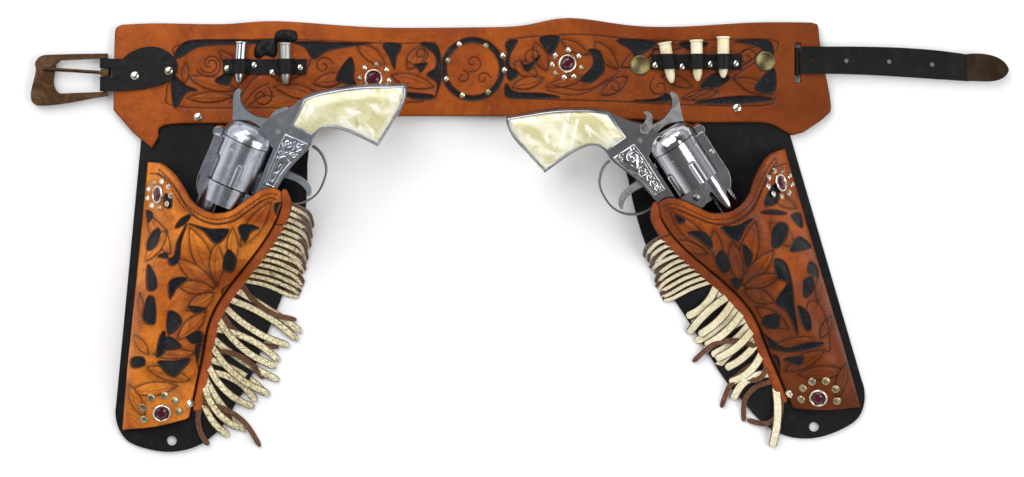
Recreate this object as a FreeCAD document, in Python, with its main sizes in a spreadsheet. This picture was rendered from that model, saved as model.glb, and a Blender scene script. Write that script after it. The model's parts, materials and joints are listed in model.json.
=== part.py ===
"""A child's western play set, laid out flat: a tooled leather belt with two pockets, each holding a
die-cast cap pistol.

Frame: +X runs along the belt towards its tip, +Y from the pockets' toes to the belt, +Z up from the
table. The origin is the centre of the footprint, on the table. Millimetres.

Each pocket is drawn in a frame of its own: x from the outer fold inwards, y from the toe to the mouth.
Each pistol is drawn in a frame of its own: x to the muzzle, y to the top strap, z to its right side,
with the origin beside the middle of the cylinder, a little above its axis.
"""

import FreeCAD
import Part

import math
import os

import Sketcher

V = FreeCAD.Vector
Z_AXIS = V(0, 0, 1)

DIMENSIONS = [
    # alias, value, what it is
    ("belt_thick", 3.0, "thickness of the belt leather"),
    ("strap_thick", 2.0, "thickness of the strap leather"),
    ("back_thick", 2.4, "thickness of a pocket's backing leather"),
    ("front_thick", 2.4, "thickness of a pocket's front leather"),
    ("welt_thick", 1.8, "thickness of the welt strip"),
    ("welt_wide", 7.0, "width of the welt strip"),
    ("thong_thick", 1.4, "thickness of a fringe thong"),
    ("thong_wide", 3.8, "width of a fringe thong"),
    ("thong_pitch", 4.6, "distance between the roots of two thongs"),
    ("toe_hole_r", 3.0, "radius of the leg-tie hole in a backing"),
    ("roof_low", 14.2, "inner height of a pocket at its toe end"),
    ("roof_rise", 0.16, "rise of a pocket's roof per millimetre towards the mouth"),
    ("lip_high", 35.2, "height of a pocket's free lip above the table"),
    ("rivet_head_r", 2.8, "radius of a rivet's head"),
    ("rivet_head_high", 1.2, "height of a rivet's head"),
    ("spot_r", 2.0, "radius of a spot"),
    ("spot_high", 1.3, "height of a spot"),
    ("disc_r", 6.2, "radius of an anchor disc"),
    ("disc_high", 1.0, "height of an anchor disc"),
    ("jewel_r", 4.4, "radius of a jewel"),
    ("jewel_high", 2.2, "height of a jewel"),
    ("bezel_r", 5.8, "outer radius of a jewel's bezel"),
    ("bezel_high", 1.5, "height of a jewel's bezel"),
    ("rosette_r", 8.2, "radius of the rosette of spots at a mouth"),
    ("toe_spot_r", 2.6, "radius of a spot by the toe"),
    ("toe_spot_high", 1.6, "height of a spot by the toe"),
    ("bar_r", 1.4, "radius of the buckle's bar"),
    ("bar_gap", 0.1, "radial clearance round the buckle's bar"),
    ("prong_r", 1.1, "radius of the buckle's prong"),
    ("billet_hole_r", 1.3, "radius of a billet hole"),
    ("case_r", 3.7, "radius of a play cartridge's case"),
    ("case_rim_r", 4.2, "radius of a play cartridge's rim"),
    ("case_long", 25.5, "length of a play cartridge"),
    ("loop_thick", 1.2, "thickness of the loop leather"),
    ("loop_wide", 9.5, "width of the loop leather"),
    ("loop_gap", 0.2, "radial clearance of a play cartridge in its loop"),
    ("gun_tilt", 8.0, "angle of a pistol to the table, muzzle down, in degrees"),
    ("gun_high", 27.0, "height of a pistol's origin above the table"),
    ("frame_half", 8.0, "half the thickness of a pistol's frame"),
    ("slot_half", 3.3, "half the width of the slot for the lockwork"),
    ("grip_thick", 4.2, "thickness of a grip panel"),
    ("cylinder_r", 16.2, "radius of the cylinder"),
    ("cylinder_axis", -3.4, "height of the cylinder's axis in the pistol's frame"),
    ("arbor_r", 2.0, "radius of the cylinder's arbor"),
    ("barrel_axis", 4.0, "height of the barrel's axis in the pistol's frame"),
    ("barrel_r", 6.3, "radius of the barrel at its breech"),
    ("muzzle_r", 5.8, "radius of the barrel at its muzzle"),
    ("muzzle_at", 118.0, "distance of the muzzle from the pistol's origin"),
    ("bore_r", 3.2, "radius of the blind recess in the muzzle"),
    ("guard_thick", 1.2, "thickness of the trigger guard"),
    ("guard_half", 3.0, "half the width of the trigger guard"),
    ("hammer_half", 3.0, "half the thickness of the hammer"),
    ("trigger_half", 2.5, "half the thickness of the trigger"),
    ("hammer_pin_r", 1.6, "radius of the hammer's pin"),
    ("trigger_pin_r", 1.2, "radius of the trigger's pin"),
    ("hinge_pin_r", 1.8, "radius of the barrel's hinge pin"),
    ("lever_pin_r", 1.4, "radius of the release lever's pin"),
    ("running_gap", 0.05, "radial clearance of a part that turns on a pin"),
    ("lever_thick", 2.2, "thickness of the release lever"),
    ("spring_thick", 0.7, "thickness of a leaf spring"),
]

# Where the two pockets and their pistols lie. hand is -1 for the mirror image.
SIDES = {
    "left": {"hand": 1, "at": V(-247.1, -122.5, 0), "turn": -5.4,
             "gun_at": (-177.0, 41.85), "gun_turn": 23.3, "gun_hand": -1, "lever_turned": 80.0},
    "right": {"hand": -1, "at": V(211.1, -108.2, 0), "turn": 16.3,
              "gun_at": (105.1, 41.85), "gun_turn": 33.5, "gun_hand": 1, "lever_turned": 0.0},
}

# Pivots in a pistol's frame.
HAMMER_PIVOT = (-31.0, -19.0)
TRIGGER_PIVOT = (-8.0, -28.5)
BARREL_PIVOT = (17.2, -9.0)
LEVER_PIVOT = (-35.5, -13.0)

doc = FreeCAD.newDocument("play_set")
sheet = doc.addObject("Spreadsheet::Sheet", "dims")
nodes = {}


def fill_sheet():
    for row, (alias, value, note) in enumerate(DIMENSIONS, 1):
        sheet.set(f"A{row}", note)
        sheet.set(f"B{row}", str(value))
        sheet.setAlias(f"B{row}", alias)
    doc.recompute()


def dim(alias):
    return float(sheet.get(alias))


# ---------------------------------------------------------------- outlines and solids

def trace(start, *runs):
    """Curves of a closed path: a run of one point is a straight line, a longer run is a smooth curve."""
    curves = []
    here = V(*start, 0)
    for run in runs + ([start],) if runs[-1][-1] != start else runs:
        points = [here] + [V(*p, 0) for p in run]
        if len(points) == 2:
            curves.append(Part.LineSegment(*points))
        else:
            curve = Part.BSplineCurve()
            curve.interpolate(points)
            curves.append(curve)
        here = points[-1]
    return curves


def flip(curves, hand):
    """The curves, mirrored in x when hand is -1."""
    if hand < 0:
        for curve in curves:
            curve.mirror(V(0, 0, 0), V(0, 1, 0))
    return curves


def prism(curves, low, high):
    face = Part.Face(Part.Wire([c.toShape() for c in curves]))
    face.translate(V(0, 0, low))
    return face.extrude(V(0, 0, high - low))


def box(x, y, z):
    """A box from three (low, high) pairs."""
    return Part.makeBox(x[1] - x[0], y[1] - y[0], z[1] - z[0], V(x[0], y[0], z[0]))


def rod(radius, start, end):
    return Part.makeCylinder(radius, (end - start).Length, start, end - start)


def dome(radius, high, at, up=Z_AXIS):
    """A round head: a cap of a sphere, radius wide and high tall."""
    ball = (radius ** 2 + high ** 2) / (2 * high)
    cap = Part.makeSphere(ball, V(0, 0, high - ball))
    cap = cap.common(Part.makeCylinder(radius + 1, high + 1))
    cap.Placement = FreeCAD.Placement(at, FreeCAD.Rotation(Z_AXIS, up))
    return cap


def ring(outer, inner, high, at, up=Z_AXIS):
    tube = Part.makeCylinder(outer, high).cut(Part.makeCylinder(inner, high))
    tube.Placement = FreeCAD.Placement(at, FreeCAD.Rotation(Z_AXIS, up))
    return tube


# ---------------------------------------------------------------- document objects

def keep(name, obj, pose=None):
    obj.Label = name
    if pose is not None:
        obj.Placement = pose
    nodes[name] = obj
    return obj


def feature(name, shape, pose=None):
    obj = doc.addObject("Part::Feature", name)
    obj.Shape = shape
    return keep(name, obj, pose)


def plane_of(body, role):
    return next(f for f in body.Origin.OriginFeatures if f.Role == role)


def sketch(body, name, curves, base=None, lift=None):
    """A sketch on the body's XY plane; base and lift are expressions for its z and y offsets."""
    sk = body.newObject("Sketcher::SketchObject", name)
    sk.AttachmentSupport = [(plane_of(body, "XY_Plane"), "")]
    sk.MapMode = "FlatFace"
    if base is not None:
        sk.setExpression("AttachmentOffset.Base.z", base)
    if lift is not None:
        sk.setExpression("AttachmentOffset.Base.y", lift)
    for curve in curves:
        sk.addGeometry(curve, False)
    sk.Visibility = False
    return sk


def pad(body, name, curves, length, base=None):
    step = body.newObject("PartDesign::Pad", name)
    step.Profile = sketch(body, f"{name}_outline", curves, base)
    step.setExpression("Length", length)
    doc.recompute()
    return step


def padded(name, curves, length, base=None):
    """A body with one pad; length and base are expressions on the sheet."""
    body = doc.addObject("PartDesign::Body", name)
    pad(body, f"{name}_pad", curves, length, base)
    return body


def pocketed(body, name, curves, length=None, up=False):
    """A pocket from the body's XY plane: length deep, or through everything both ways."""
    before = body.Shape.Volume
    cut = body.newObject("PartDesign::Pocket", name)
    cut.Profile = sketch(body, f"{name}_outline", curves)
    if length is None:
        cut.Type = "ThroughAll"
        cut.Midplane = True
    else:
        cut.setExpression("Length", length)
        cut.Reversed = up
    doc.recompute()
    if body.Shape.Volume > before - 0.01:
        raise RuntimeError(f"{name} cuts nothing")
    return cut


def drilled(body, name, holes):
    """Round holes right through a body; a hole is (x, y, expression of its radius)."""
    cut = pocketed(body, name, [Part.Circle(V(x, y, 0), Z_AXIS, 1.0) for x, y, _ in holes])
    sk = cut.Profile[0]
    for i, (_, _, radius) in enumerate(holes):
        sk.addConstraint(Sketcher.Constraint("Radius", i, 1.0))
        sk.setExpression(f"Constraints[{i}]", radius)
    doc.recompute()
    return cut


def revolved(body, name, profile, lift=None, angle=360, back=False):
    """A revolution about X (moved up by lift); profile is (x, radius) points."""
    loop = profile + [profile[0]]
    lines = [Part.LineSegment(V(*a, 0), V(*b, 0)) for a, b in zip(loop, loop[1:])]
    step = body.newObject("PartDesign::Revolution", name)
    step.Profile = sketch(body, f"{name}_profile", lines, lift=lift)
    step.ReferenceAxis = (step.Profile[0], ["H_Axis"])
    step.Angle = angle
    step.Reversed = back
    doc.recompute()
    return step


# ---------------------------------------------------------------- the belt

def belt_panel():
    outline = trace(
        (-246.5, 128.6),
        [(-225, 129.5), (-185, 129), (-150, 130.8), (-90, 127), (-30, 127), (0, 128), (30, 132.8),
         (70, 128), (100, 127.5), (145, 130), (181, 130)],
        [(183.5, 129), (184.4, 126), (186, 112), (192, 80), (189, 72), (175, 62), (168, 60)],
        [(157, 66), (147, 68), (110, 68), (70, 70)],
        [(30, 71), (-10, 72), (-75, 72)],
        [(-95, 71.5), (-112, 70), (-132, 62), (-150, 66), (-216, 67)],
        [(-224, 59), (-228, 52)],
        [(-240, 62), (-252, 76)],
        [(-251.5, 108)],
        [(-251, 124), (-249.5, 127.4), (-246.5, 128.6)])
    body = padded("belt_panel", outline, "dims.belt_thick", "dims.back_thick")
    slot = trace((169.8, 93), [(173.2, 93)], [(173.2, 117)], [(169.8, 117)])
    pocketed(body, "billet_slot", slot)
    keep("belt_panel", body)


def buckle_strap():
    """One strap folded round the buckle's bar: its upper end lies on the belt, its lower end behind it."""
    top = dim("back_thick") + dim("belt_thick")
    hole = dim("bar_r") + dim("bar_gap")
    thick = dim("strap_thick")
    centre = V(BAR_X, 0, top - hole)
    reach = (87.5, 107.5)
    fold = rod(hole + thick, centre + V(0, reach[0], 0), centre + V(0, reach[1], 0))
    fold = fold.cut(box((BAR_X, 0), (0, 200), (-20, 20)))
    lobe = [(-244, reach[0]), (-225, 90.5), (-217, 94), (-212, 102), (-217, 111), (-229, 115), (-240, 112),
            (-246, reach[1])]
    upper = prism(trace((BAR_X, reach[0]), lobe, [(BAR_X, reach[1])]), top, top + thick)
    low = top - 2 * hole
    lower = box((BAR_X, -215), (90.5, reach[1]), (low - thick, low))
    strap = fold.fuse([upper, lower])
    strap = strap.cut(rod(hole, centre + V(0, 80, 0), centre + V(0, 120, 0)))
    prong_slot = box((BAR_X - 6, BAR_X + 4.5), (PRONG_Y - 2.6, PRONG_Y + 2.6), (-1, 12))
    feature("buckle_strap", strap.cut(prong_slot).removeSplitter())


def buckle():
    top = dim("back_thick") + dim("belt_thick")
    hole = dim("bar_r") + dim("bar_gap")
    bar_z = top - hole
    half = hole
    frame = prism(trace((BAR_X + 1.6, 84.5), [(-270, 82), (-290, 78.8), (-299, 78.5)],
                        [(-301.5, 80), (-301.9, 92), (-300.6, 104)], [(-299, 107.5), (-293, 110)],
                        [(-270, 110.6), (BAR_X + 1.6, 110.8)]), bar_z - half, bar_z + half)
    window = prism(trace((BAR_X + 2, 87.2), [(-285, 86)], [(-288, 89), (-288.6, 97), (-287.4, 104)],
                         [(-284.5, 106.5)], [(BAR_X + 2, 107.9)]), -1, 12)
    bar = rod(dim("bar_r"), V(BAR_X, 86, bar_z), V(BAR_X, 109, bar_z))
    feature("buckle_frame", frame.cut(window).fuse(bar).removeSplitter())
    tip = V(-294.5, 101.2, top + dim("prong_r") + 0.6)
    root = V(BAR_X, PRONG_Y, bar_z)
    hub = rod(3.0, root - V(0, 2.2, 0), root + V(0, 2.2, 0))
    arm = rod(dim("prong_r"), root + V(-2, 0, 1.2), tip).fuse(Part.makeSphere(dim("prong_r"), tip))
    eye = rod(hole, root - V(0, 3, 0), root + V(0, 3, 0))
    feature("buckle_prong", hub.fuse(arm).cut(eye).removeSplitter())


def billet():
    low = dim("back_thick") + dim("belt_thick") + 0.2
    anchor = box((67, 172.8), (97.5, 114.5), (0.4, dim("back_thick")))
    anchor = anchor.fuse(box((170.2, 172.8), (97.5, 114.5), (dim("back_thick"), low - 0.2)))
    feature("billet_anchor_strap", anchor.removeSplitter())
    outline = trace((BILLET_X, 98), [(200, 98), (240, 96), (275.5, 93.6)], [(275.5, 110.2)],
                    [(240, 114), (200, 115), (BILLET_X, 115)])
    body = padded("billet_strap", outline, "dims.strap_thick",
                  "dims.back_thick + dims.belt_thick + 0.2")
    holes = [(180.5, 107.2), (201.5, 106.2), (228, 105.6), (254.5, 103.8)]
    drilled(body, "billet_holes", [(x, y, "dims.billet_hole_r") for x, y in holes])
    keep("billet_strap", body)
    tip = trace((275.5, 93.4), [(292, 93.6), (299, 96), (302, 100.4)],
                [(299.5, 105), (293, 109), (275.5, 110.4)])
    keep("billet_tip", padded("billet_tip", tip, "dims.strap_thick + 0.8",
                              "dims.back_thick + dims.belt_thick - 0.2"))


def cartridge(number):
    (x, y), turn = CARTRIDGES[number]["base"], CARTRIDGES[number]["turn"]
    body = doc.addObject("PartDesign::Body", f"bullet_{number}")
    case_r, rim_r, long = dim("case_r"), dim("case_rim_r"), dim("case_long")
    profile = [(0, 0), (0, rim_r), (1.2, rim_r), (1.2, case_r), (16, case_r), (16.6, case_r - 0.6),
               (21, case_r - 0.9), (24, case_r - 1.8), (long, 0.9), (long, 0)]
    revolved(body, f"bullet_{number}_turn", profile)
    pose = FreeCAD.Placement(V(x, y, CASE_Z), FreeCAD.Rotation(Z_AXIS, -90 + turn))
    keep(f"bullet_{number}", body, pose)


def cartridge_loops(name, span, y, numbers):
    """A strip riveted to the belt, arched over its cartridges."""
    top = dim("back_thick") + dim("belt_thick")
    thick, gap, case_r = dim("loop_thick"), dim("loop_gap"), dim("case_r")
    y_span = (y - dim("loop_wide") / 2, y + dim("loop_wide") / 2)
    strip = box(span, y_span, (top, top + thick))
    channels = []
    for number in numbers:
        (x, base_y), turn = CARTRIDGES[number]["base"], math.radians(CARTRIDGES[number]["turn"])
        along = V(math.sin(turn), -math.cos(turn), 0)
        start = V(x, base_y, CASE_Z)
        side = case_r + gap + thick
        arch = rod(side, start, start + along * 40)
        leg = Part.makeBox(2 * side, 40, CASE_Z - top, V(-side, -40, top))
        leg.rotate(V(0, 0, 0), Z_AXIS, math.degrees(turn))
        leg.translate(V(x, base_y, 0))
        strip = strip.fuse(arch.fuse(leg))
        inner = case_r + gap
        hollow = rod(inner, start - along * 20, start + along * 60)
        gate = Part.makeBox(2 * inner, 80, CASE_Z - top + 1, V(-inner, -60, top - 1))
        gate.rotate(V(0, 0, 0), Z_AXIS, math.degrees(turn))
        gate.translate(V(x, base_y, 0))
        channels += [hollow, gate]
    strip = strip.cut(channels).common(box((-400, 400), y_span, (top, 40)))
    feature(name, strip.removeSplitter())


def circle_points(centre, radius, count, first=90):
    for i in range(count):
        angle = math.radians(first + 360 * i / count)
        yield centre[0] + radius * math.cos(angle), centre[1] + radius * math.sin(angle)


def belt_trim():
    top = dim("back_thick") + dim("belt_thick")
    strap_top = top + dim("strap_thick")
    loop_top = top + dim("loop_thick")
    head = (dim("rivet_head_r"), dim("rivet_head_high"))
    rivets = [dome(*head, V(x, y, top)) for x, y in [(-199.5, 71.5), (134, 77)]]
    rivets += [dome(*head, V(x, y, strap_top)) for x, y in [(-238.5, 97), (-217.5, 100)]]
    rivets += [dome(2.0, 1.0, V(x, y, loop_top)) for x, y in LOOP_RIVETS]
    feature("belt_rivets", Part.makeCompound(rivets))
    discs = [dome(dim("disc_r"), dim("disc_high"), V(x, y, top)) for x, y in [(74, 103.5), (151.5, 106)]]
    feature("billet_anchor_discs", Part.makeCompound(discs))
    spots = [dome(dim("spot_r"), dim("spot_high"), V(x, y, top)) for x, y in BELT_SPOTS]
    feature("belt_spots", Part.makeCompound(spots))
    bezels, jewels = [], []
    for centre in BELT_ROSETTES:
        at = V(*centre, top)
        bezels.append(ring(dim("bezel_r"), dim("jewel_r"), dim("bezel_high"), at))
        jewels.append(dome(dim("jewel_r"), dim("jewel_high"), at))
    feature("belt_jewel_bezels", Part.makeCompound(bezels))
    feature("belt_jewels", Part.makeCompound(jewels))


# ---------------------------------------------------------------- the pockets

def clamp(value):
    return max(0.0, min(1.0, value))


def smooth(value):
    value = clamp(value)
    return value * value * (3 - 2 * value)


def seam(y):
    """x of a pocket's inner edge, at the outside of its welt."""
    return 48 + 5.5 * smooth(y / 70) + 40.5 * smooth((y - 62) / 88)


def front_edge(y):
    """x of the front leather's inner edge, where the welt begins."""
    slope = (seam(y + 1) - seam(y - 1)) / 2
    return seam(y) - dim("welt_wide") * math.sqrt(1 + slope * slope)


def lip(y):
    """Height of the front's inner edge: on the backing low down, free and lifted at the mouth."""
    return dim("back_thick") + (dim("lip_high") - dim("back_thick")) * smooth((y - 98) / 46)


def roof(y):
    """Inner height of the pocket at y."""
    return dim("roof_low") + dim("roof_rise") * y - 9 * (1 - clamp(y / 45)) ** 2


def bulge(u, y):
    """How much of the roof's height the leather has at u, 0 at the outer fold and 1 at the seam."""
    gentle = clamp((y - 40) / 100)
    wave = max(0.0, math.sin(math.pi * u ** (0.7 + 0.3 * gentle)))
    return wave ** (0.45 + 0.5 * gentle + 0.4 * u)


def leather_height(u, y, extra):
    low = dim("back_thick")
    edge = low + (lip(y) + extra - low) * smooth(u / 0.8)
    return edge + (roof(y) + extra - edge) * bulge(u, y)


def front_top(x, y):
    """A point of the front's upper face and its normal, in the pocket's frame."""
    def height(px, py):
        return leather_height(clamp(px / front_edge(py)), py, dim("front_thick"))
    normal = V(height(x - 0.5, y) - height(x + 0.5, y), height(x, y - 0.5) - height(x, y + 0.5), 1)
    return V(x, y, height(x, y)), normal.normalize()


def section(y, start, extra, tail):
    """A closed wire across the pocket at y: a curve over the leather, closed below it."""
    end = front_edge(y)
    count = 12
    points = []
    for i in range(count + 1):
        u = (i / count) ** 1.6
        points.append(V(start + (end - start) * u, y, leather_height(u, y, extra)))
    curve = Part.BSplineCurve()
    curve.interpolate(points)
    first, last = points[0], points[-1]
    if tail:
        corners = [last, last + V(tail, 0, 0), V(last.x + tail, y, -4), V(first.x, y, -4), first]
    else:
        corners = [last, V(last.x, y, dim("back_thick")), first]
    return Part.Wire([curve.toShape()] + [Part.makeLine(a, b) for a, b in zip(corners, corners[1:])])


def mouth_cutter():
    """Everything beyond the pocket's mouth and below its toe."""
    mouth = prism(trace((-12, 167), [(0, 167)],
                        [(9, 166.5), (18, 161), (25, 154), (31, 146.5), (38, 141.5), (47, 139), (57, 141.5),
                         (63, 146.5), (74, 155.5), (82, 158), (89, 156), (93, 151.5), (94.5, 146)],
                        [(120, 146)], [(120, 200)], [(-12, 200)]), -10, 80)
    toe = prism(trace((-12, -20), [(-12, 0)], [(0, 0)], [(20, 4), (45, 11), (60, 18)], [(60, -20)]), -10, 80)
    return [mouth, toe]


def pocket_front():
    stations = [-4, 14, 30, 50, 70, 90, 105, 120, 135, 150, 170]
    outer = Part.makeLoft([section(y, 0, dim("front_thick"), 0) for y in stations], True)
    inner = Part.makeLoft([section(y, dim("front_thick"), 0, 4) for y in stations], True)
    return outer.cut([inner] + mouth_cutter())


def welt():
    wires = []
    for y in range(17, 162, 8):
        low, high = lip(y), lip(y) + dim("welt_thick")
        left, right = front_edge(y) + 0.35, seam(y)
        corners = [V(left, y, low), V(right, y, low), V(right, y, high), V(left, y, high)]
        wires.append(Part.makePolygon(corners + corners[:1]))
    return Part.makeLoft(wires, True, True).cut(mouth_cutter()[0])


def thong(root, angle, long):
    """A flat strip from its root, its far end cut to a point."""
    half = dim("thong_wide") / 2
    tip = V(long, half - 0.8, 0)
    corners = [V(0, -half, 0), V(long - 4, -half, 0), tip, V(long - 2, half, 0), V(0, half, 0)]
    strip = Part.Face(Part.makePolygon(corners + corners[:1])).extrude(V(0, 0, dim("thong_thick")))
    strip.rotate(V(0, 0, 0), Z_AXIS, angle)
    strip.translate(V(*root, dim("back_thick")))
    return strip


def fringe(side):
    """Thongs from the seam outwards: level at the mouth, fanning down towards the toe."""
    first, last, reach, short = FRINGE[side]
    count = int(124 / dim("thong_pitch"))
    strips = []
    for i in range(count):
        part = i / (count - 1)
        y = 146 - 124 * part
        angle = first + (last - first) * part
        long = short + (reach - short) * smooth((part - 0.2) / 0.25)
        long *= 1 - 0.3 * smooth((part - 0.6) / 0.4)
        strips.append(thong((seam(y) + 2.6, y), angle, long))
    return Part.makeCompound(strips)


def pocket(side):
    spec = SIDES[side]
    hand = spec["hand"]
    pose = FreeCAD.Placement(spec["at"], FreeCAD.Rotation(Z_AXIS, spec["turn"]))

    def placed(name, shape):
        if hand < 0:
            shape = shape.mirror(V(0, 0, 0), V(1, 0, 0))
        feature(name, shape, pose)

    toe = [(-3, 3), (4, -6), (14, -9.5), (31, -10.5), (48, -5), (60, 6), (68, 22)]
    inner = [(77, 42), (83, 64), (92, 95), (99, 125), (100.5, 150), (99, 175)]
    outline = trace((-5, 212), [(-5, 15)], toe, inner, [(99, 212)])
    name = f"{side}_holster_backing"
    body = padded(name, flip(outline, hand), "dims.back_thick")
    drilled(body, f"{side}_toe_hole", [(31.5 * hand, -3.5, "dims.toe_hole_r")])
    keep(name, body, pose)
    placed(f"{side}_holster_pocket", pocket_front())
    placed(f"{side}_holster_welt", welt())
    placed(f"{side}_holster_fringe", fringe(side))
    spots = []
    for x, y in circle_points(POCKET_ROSETTES[0], dim("rosette_r"), 9, 80):
        at, up = front_top(x, y)
        spots.append(dome(dim("spot_r"), dim("spot_high"), at + up * 0.6, up))
    for x, y in TOE_SPOTS:
        at, up = front_top(x, y)
        spots.append(dome(dim("toe_spot_r"), dim("toe_spot_high"), at + up * 0.6, up))
    at, up = front_top(41.0, 20.5)
    spots.append(dome(dim("rivet_head_r"), dim("rivet_head_high"), at + up * 0.6, up))
    placed(f"{side}_holster_spots", Part.makeCompound(spots))


def holster_jewels():
    """The jewels of both pockets' rosettes, each in its bezel."""
    bezels, jewels = [], []
    for spec in SIDES.values():
        pose = FreeCAD.Placement(spec["at"], FreeCAD.Rotation(Z_AXIS, spec["turn"]))
        for centre in POCKET_ROSETTES:
            at, up = front_top(*centre)
            at = pose.multVec(V(at.x * spec["hand"], at.y, at.z))
            up = pose.Rotation.multVec(V(up.x * spec["hand"], up.y, up.z))
            bezels.append(ring(dim("bezel_r"), dim("jewel_r"), dim("bezel_high"), at + up * 0.5, up))
            jewels.append(dome(dim("jewel_r"), dim("jewel_high"), at + up * 0.5, up))
    feature("holster_jewel_bezels", Part.makeCompound(bezels))
    feature("holster_jewels", Part.makeCompound(jewels))


# ---------------------------------------------------------------- the pistols

def frame_outline():
    return trace(
        (-26.5, -8),
        [(-33, -8.6), (-38, -12), (-42, -16), (-48, -20.5), (-57, -25.8), (-63, -32.5), (-68.5, -40.5),
         (-74, -49.5), (-79, -59), (-83, -68), (-88.5, -79.5)],
        [(-79, -82.5), (-66, -81.5), (-47, -78.5)],
        [(-47.4, -68), (-47.6, -60), (-46.5, -50), (-43.5, -43.5), (-38, -40.5), (-32, -40.5)],
        [(-25, -38.6), (-18, -36), (-8, -33), (3, -31.5), (10, -30), (17, -26.5), (22.5, -21), (24.5, -15),
         (24.5, -8)],
        [(22, -4.6), (18, -4.2)],
        [(12.2, -4.2)],
        [(12.2, -20.2)],
        [(-20, -20.2)],
        [(-26.5, -8)])


def slot_outline():
    rear = [[(-76, -74)], [(-61, -42)], [(-50, -27)], [(-46.5, -18.6)], [(-60, -10)], [(-60, 20)]]
    return trace((-24, 20), [(-24, -25.5)], [(-35, -28)], [(-45, -42)], [(-53, -72)], *rear)


def trigger_slot_outline():
    return trace((-14.5, -22.6), [(8, -22.6)], [(8, -28.6)], [(-1.5, -30)], [(-1.5, -40)], [(-14.5, -40)])


def lug_slot_outline():
    return trace((11, -2), [(11, -19)], [(20, -19)], [(25.6, -14)], [(25.6, -2)])


def frame_half(name, up, pose):
    """One half of the frame with half of the recoil shield; up is True for the right half."""
    body = padded(name, frame_outline(), "dims.frame_half", None if up else "-dims.frame_half")
    shield = [(-28, 0), (-28, 6), (-26.8, 10.5), (-24, 14.2), (-20.4, 16.2), (-17, 16.4), (-17, 0)]
    revolved(body, f"{name}_shield", shield, "dims.cylinder_axis", 180, not up)
    pocketed(body, f"{name}_lock_slot", slot_outline(), "dims.slot_half", up)
    pocketed(body, f"{name}_trigger_slot", trigger_slot_outline(), "dims.slot_half", up)
    pocketed(body, f"{name}_lug_slot", lug_slot_outline(), "dims.slot_half", up)
    holes = [(*HAMMER_PIVOT, "dims.hammer_pin_r"), (*TRIGGER_PIVOT, "dims.trigger_pin_r"),
             (*BARREL_PIVOT, "dims.hinge_pin_r")]
    if up:
        holes.append((*LEVER_PIVOT, "dims.lever_pin_r"))
    drilled(body, f"{name}_pin_holes", holes)
    keep(name, body, pose)


def barrel(name, pose):
    """The barrel with the top strap, the hinge lug and the half collar on its left side."""
    axis, breech, muzzle = dim("barrel_axis"), dim("barrel_r"), dim("muzzle_r")
    long = dim("muzzle_at") - 12.2
    tube = Part.makeCone(breech, muzzle, long, V(12.2, axis, 0), V(1, 0, 0))
    strap = trace((-19, 9.6), [(-19, 16.2)], [(-17.6, 17.8), (-13.8, 17.8)], [(-12.8, 16.4)], [(12, 16.2)],
                  [(19, 15.2), (25, 11)], [(25, 8)], [(12.2, 8)], [(12.2, 9.6)])
    strap = prism(strap, -5.5, 5.5)
    flange = prism(trace((-14.5, 9.6), [(12.2, 9.6)], [(12.2, 16)], [(-14.5, 16)]), -9.5, 9.5)
    lug = trace((12.2, 2), [(24, 2)], [(24, -9), (21, -13.5), (16.5, -14.6), (13.4, -13), (12.2, -9)])
    lug = prism(lug, -3.1, 3.1)
    centre = dim("cylinder_axis")
    collar = Part.makeCylinder(14.5, 12.3, V(12.2, centre, 0), V(1, 0, 0))
    collar = collar.common(box((0, 40), (-40, 40), (-20, 0)))
    collar = collar.cut(box((0, 40), (-40, -4.0), (-dim("frame_half") - 0.2, 1)))
    rib = trace((25, axis + 4), [(112, axis + 4)], [(112, axis + 6.6)], [(25, axis + 7.4)])
    rib = prism(rib, -1.6, 1.6)
    sight = trace((108, axis + 5), [(116, axis + 5)], [(115, axis + 9.5)], [(109, axis + 7)])
    sight = prism(sight, -0.9, 0.9)
    bore = rod(dim("bore_r"), V(dim("muzzle_at") - 14, axis, 0), V(dim("muzzle_at") + 1, axis, 0))
    hinge = rod(dim("hinge_pin_r") + 0.05, V(*BARREL_PIVOT, -10), V(*BARREL_PIVOT, 10))
    arbor = rod(dim("arbor_r"), V(10, centre, 0), V(20, centre, 0))
    whole = tube.fuse([strap, flange, lug, collar, rib, sight])
    shield_room = Part.makeCylinder(16.9, 2.6, V(-19.4, centre, 0), V(1, 0, 0))
    cylinder_room = Part.makeCylinder(dim("cylinder_r") + 0.4, 29.0, V(-16.8, centre, 0), V(1, 0, 0))
    whole = whole.cut([bore, hinge, arbor, shield_room, cylinder_room])
    feature(name, whole.removeSplitter(), pose)


def cylinder(name, pose):
    """The cylinder: six flutes in front, six stop notches behind, on a plain bore."""
    radius, hole, axis = dim("cylinder_r"), dim("arbor_r") + dim("running_gap"), dim("cylinder_axis")
    middle = V(0, axis, 0)
    drum = Part.makeCylinder(radius, 27.6, V(-16.4, axis, 0), V(1, 0, 0))
    drum = drum.cut(rod(hole, middle - V(20, 0, 0), middle + V(20, 0, 0)))
    cuts = []
    for i in range(6):
        turn = math.radians(60 * i + 20)
        out = V(0, math.cos(turn), math.sin(turn))
        start = middle + V(-1.5, 0, 0) + out * (radius + 1.4)
        cuts.append(rod(3.2, start, start + V(14, 0, 0)))
        cuts.append(Part.makeSphere(3.2, start))
        half = math.radians(60 * i + 50)
        notch = middle + V(-12, 0, 0) + V(0, math.cos(half), math.sin(half)) * (radius - 0.8)
        cuts.append(Part.makeCylinder(2.0, 4, notch, V(0, math.cos(half), math.sin(half))))
    feature(name, drum.cut(cuts), pose)


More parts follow.
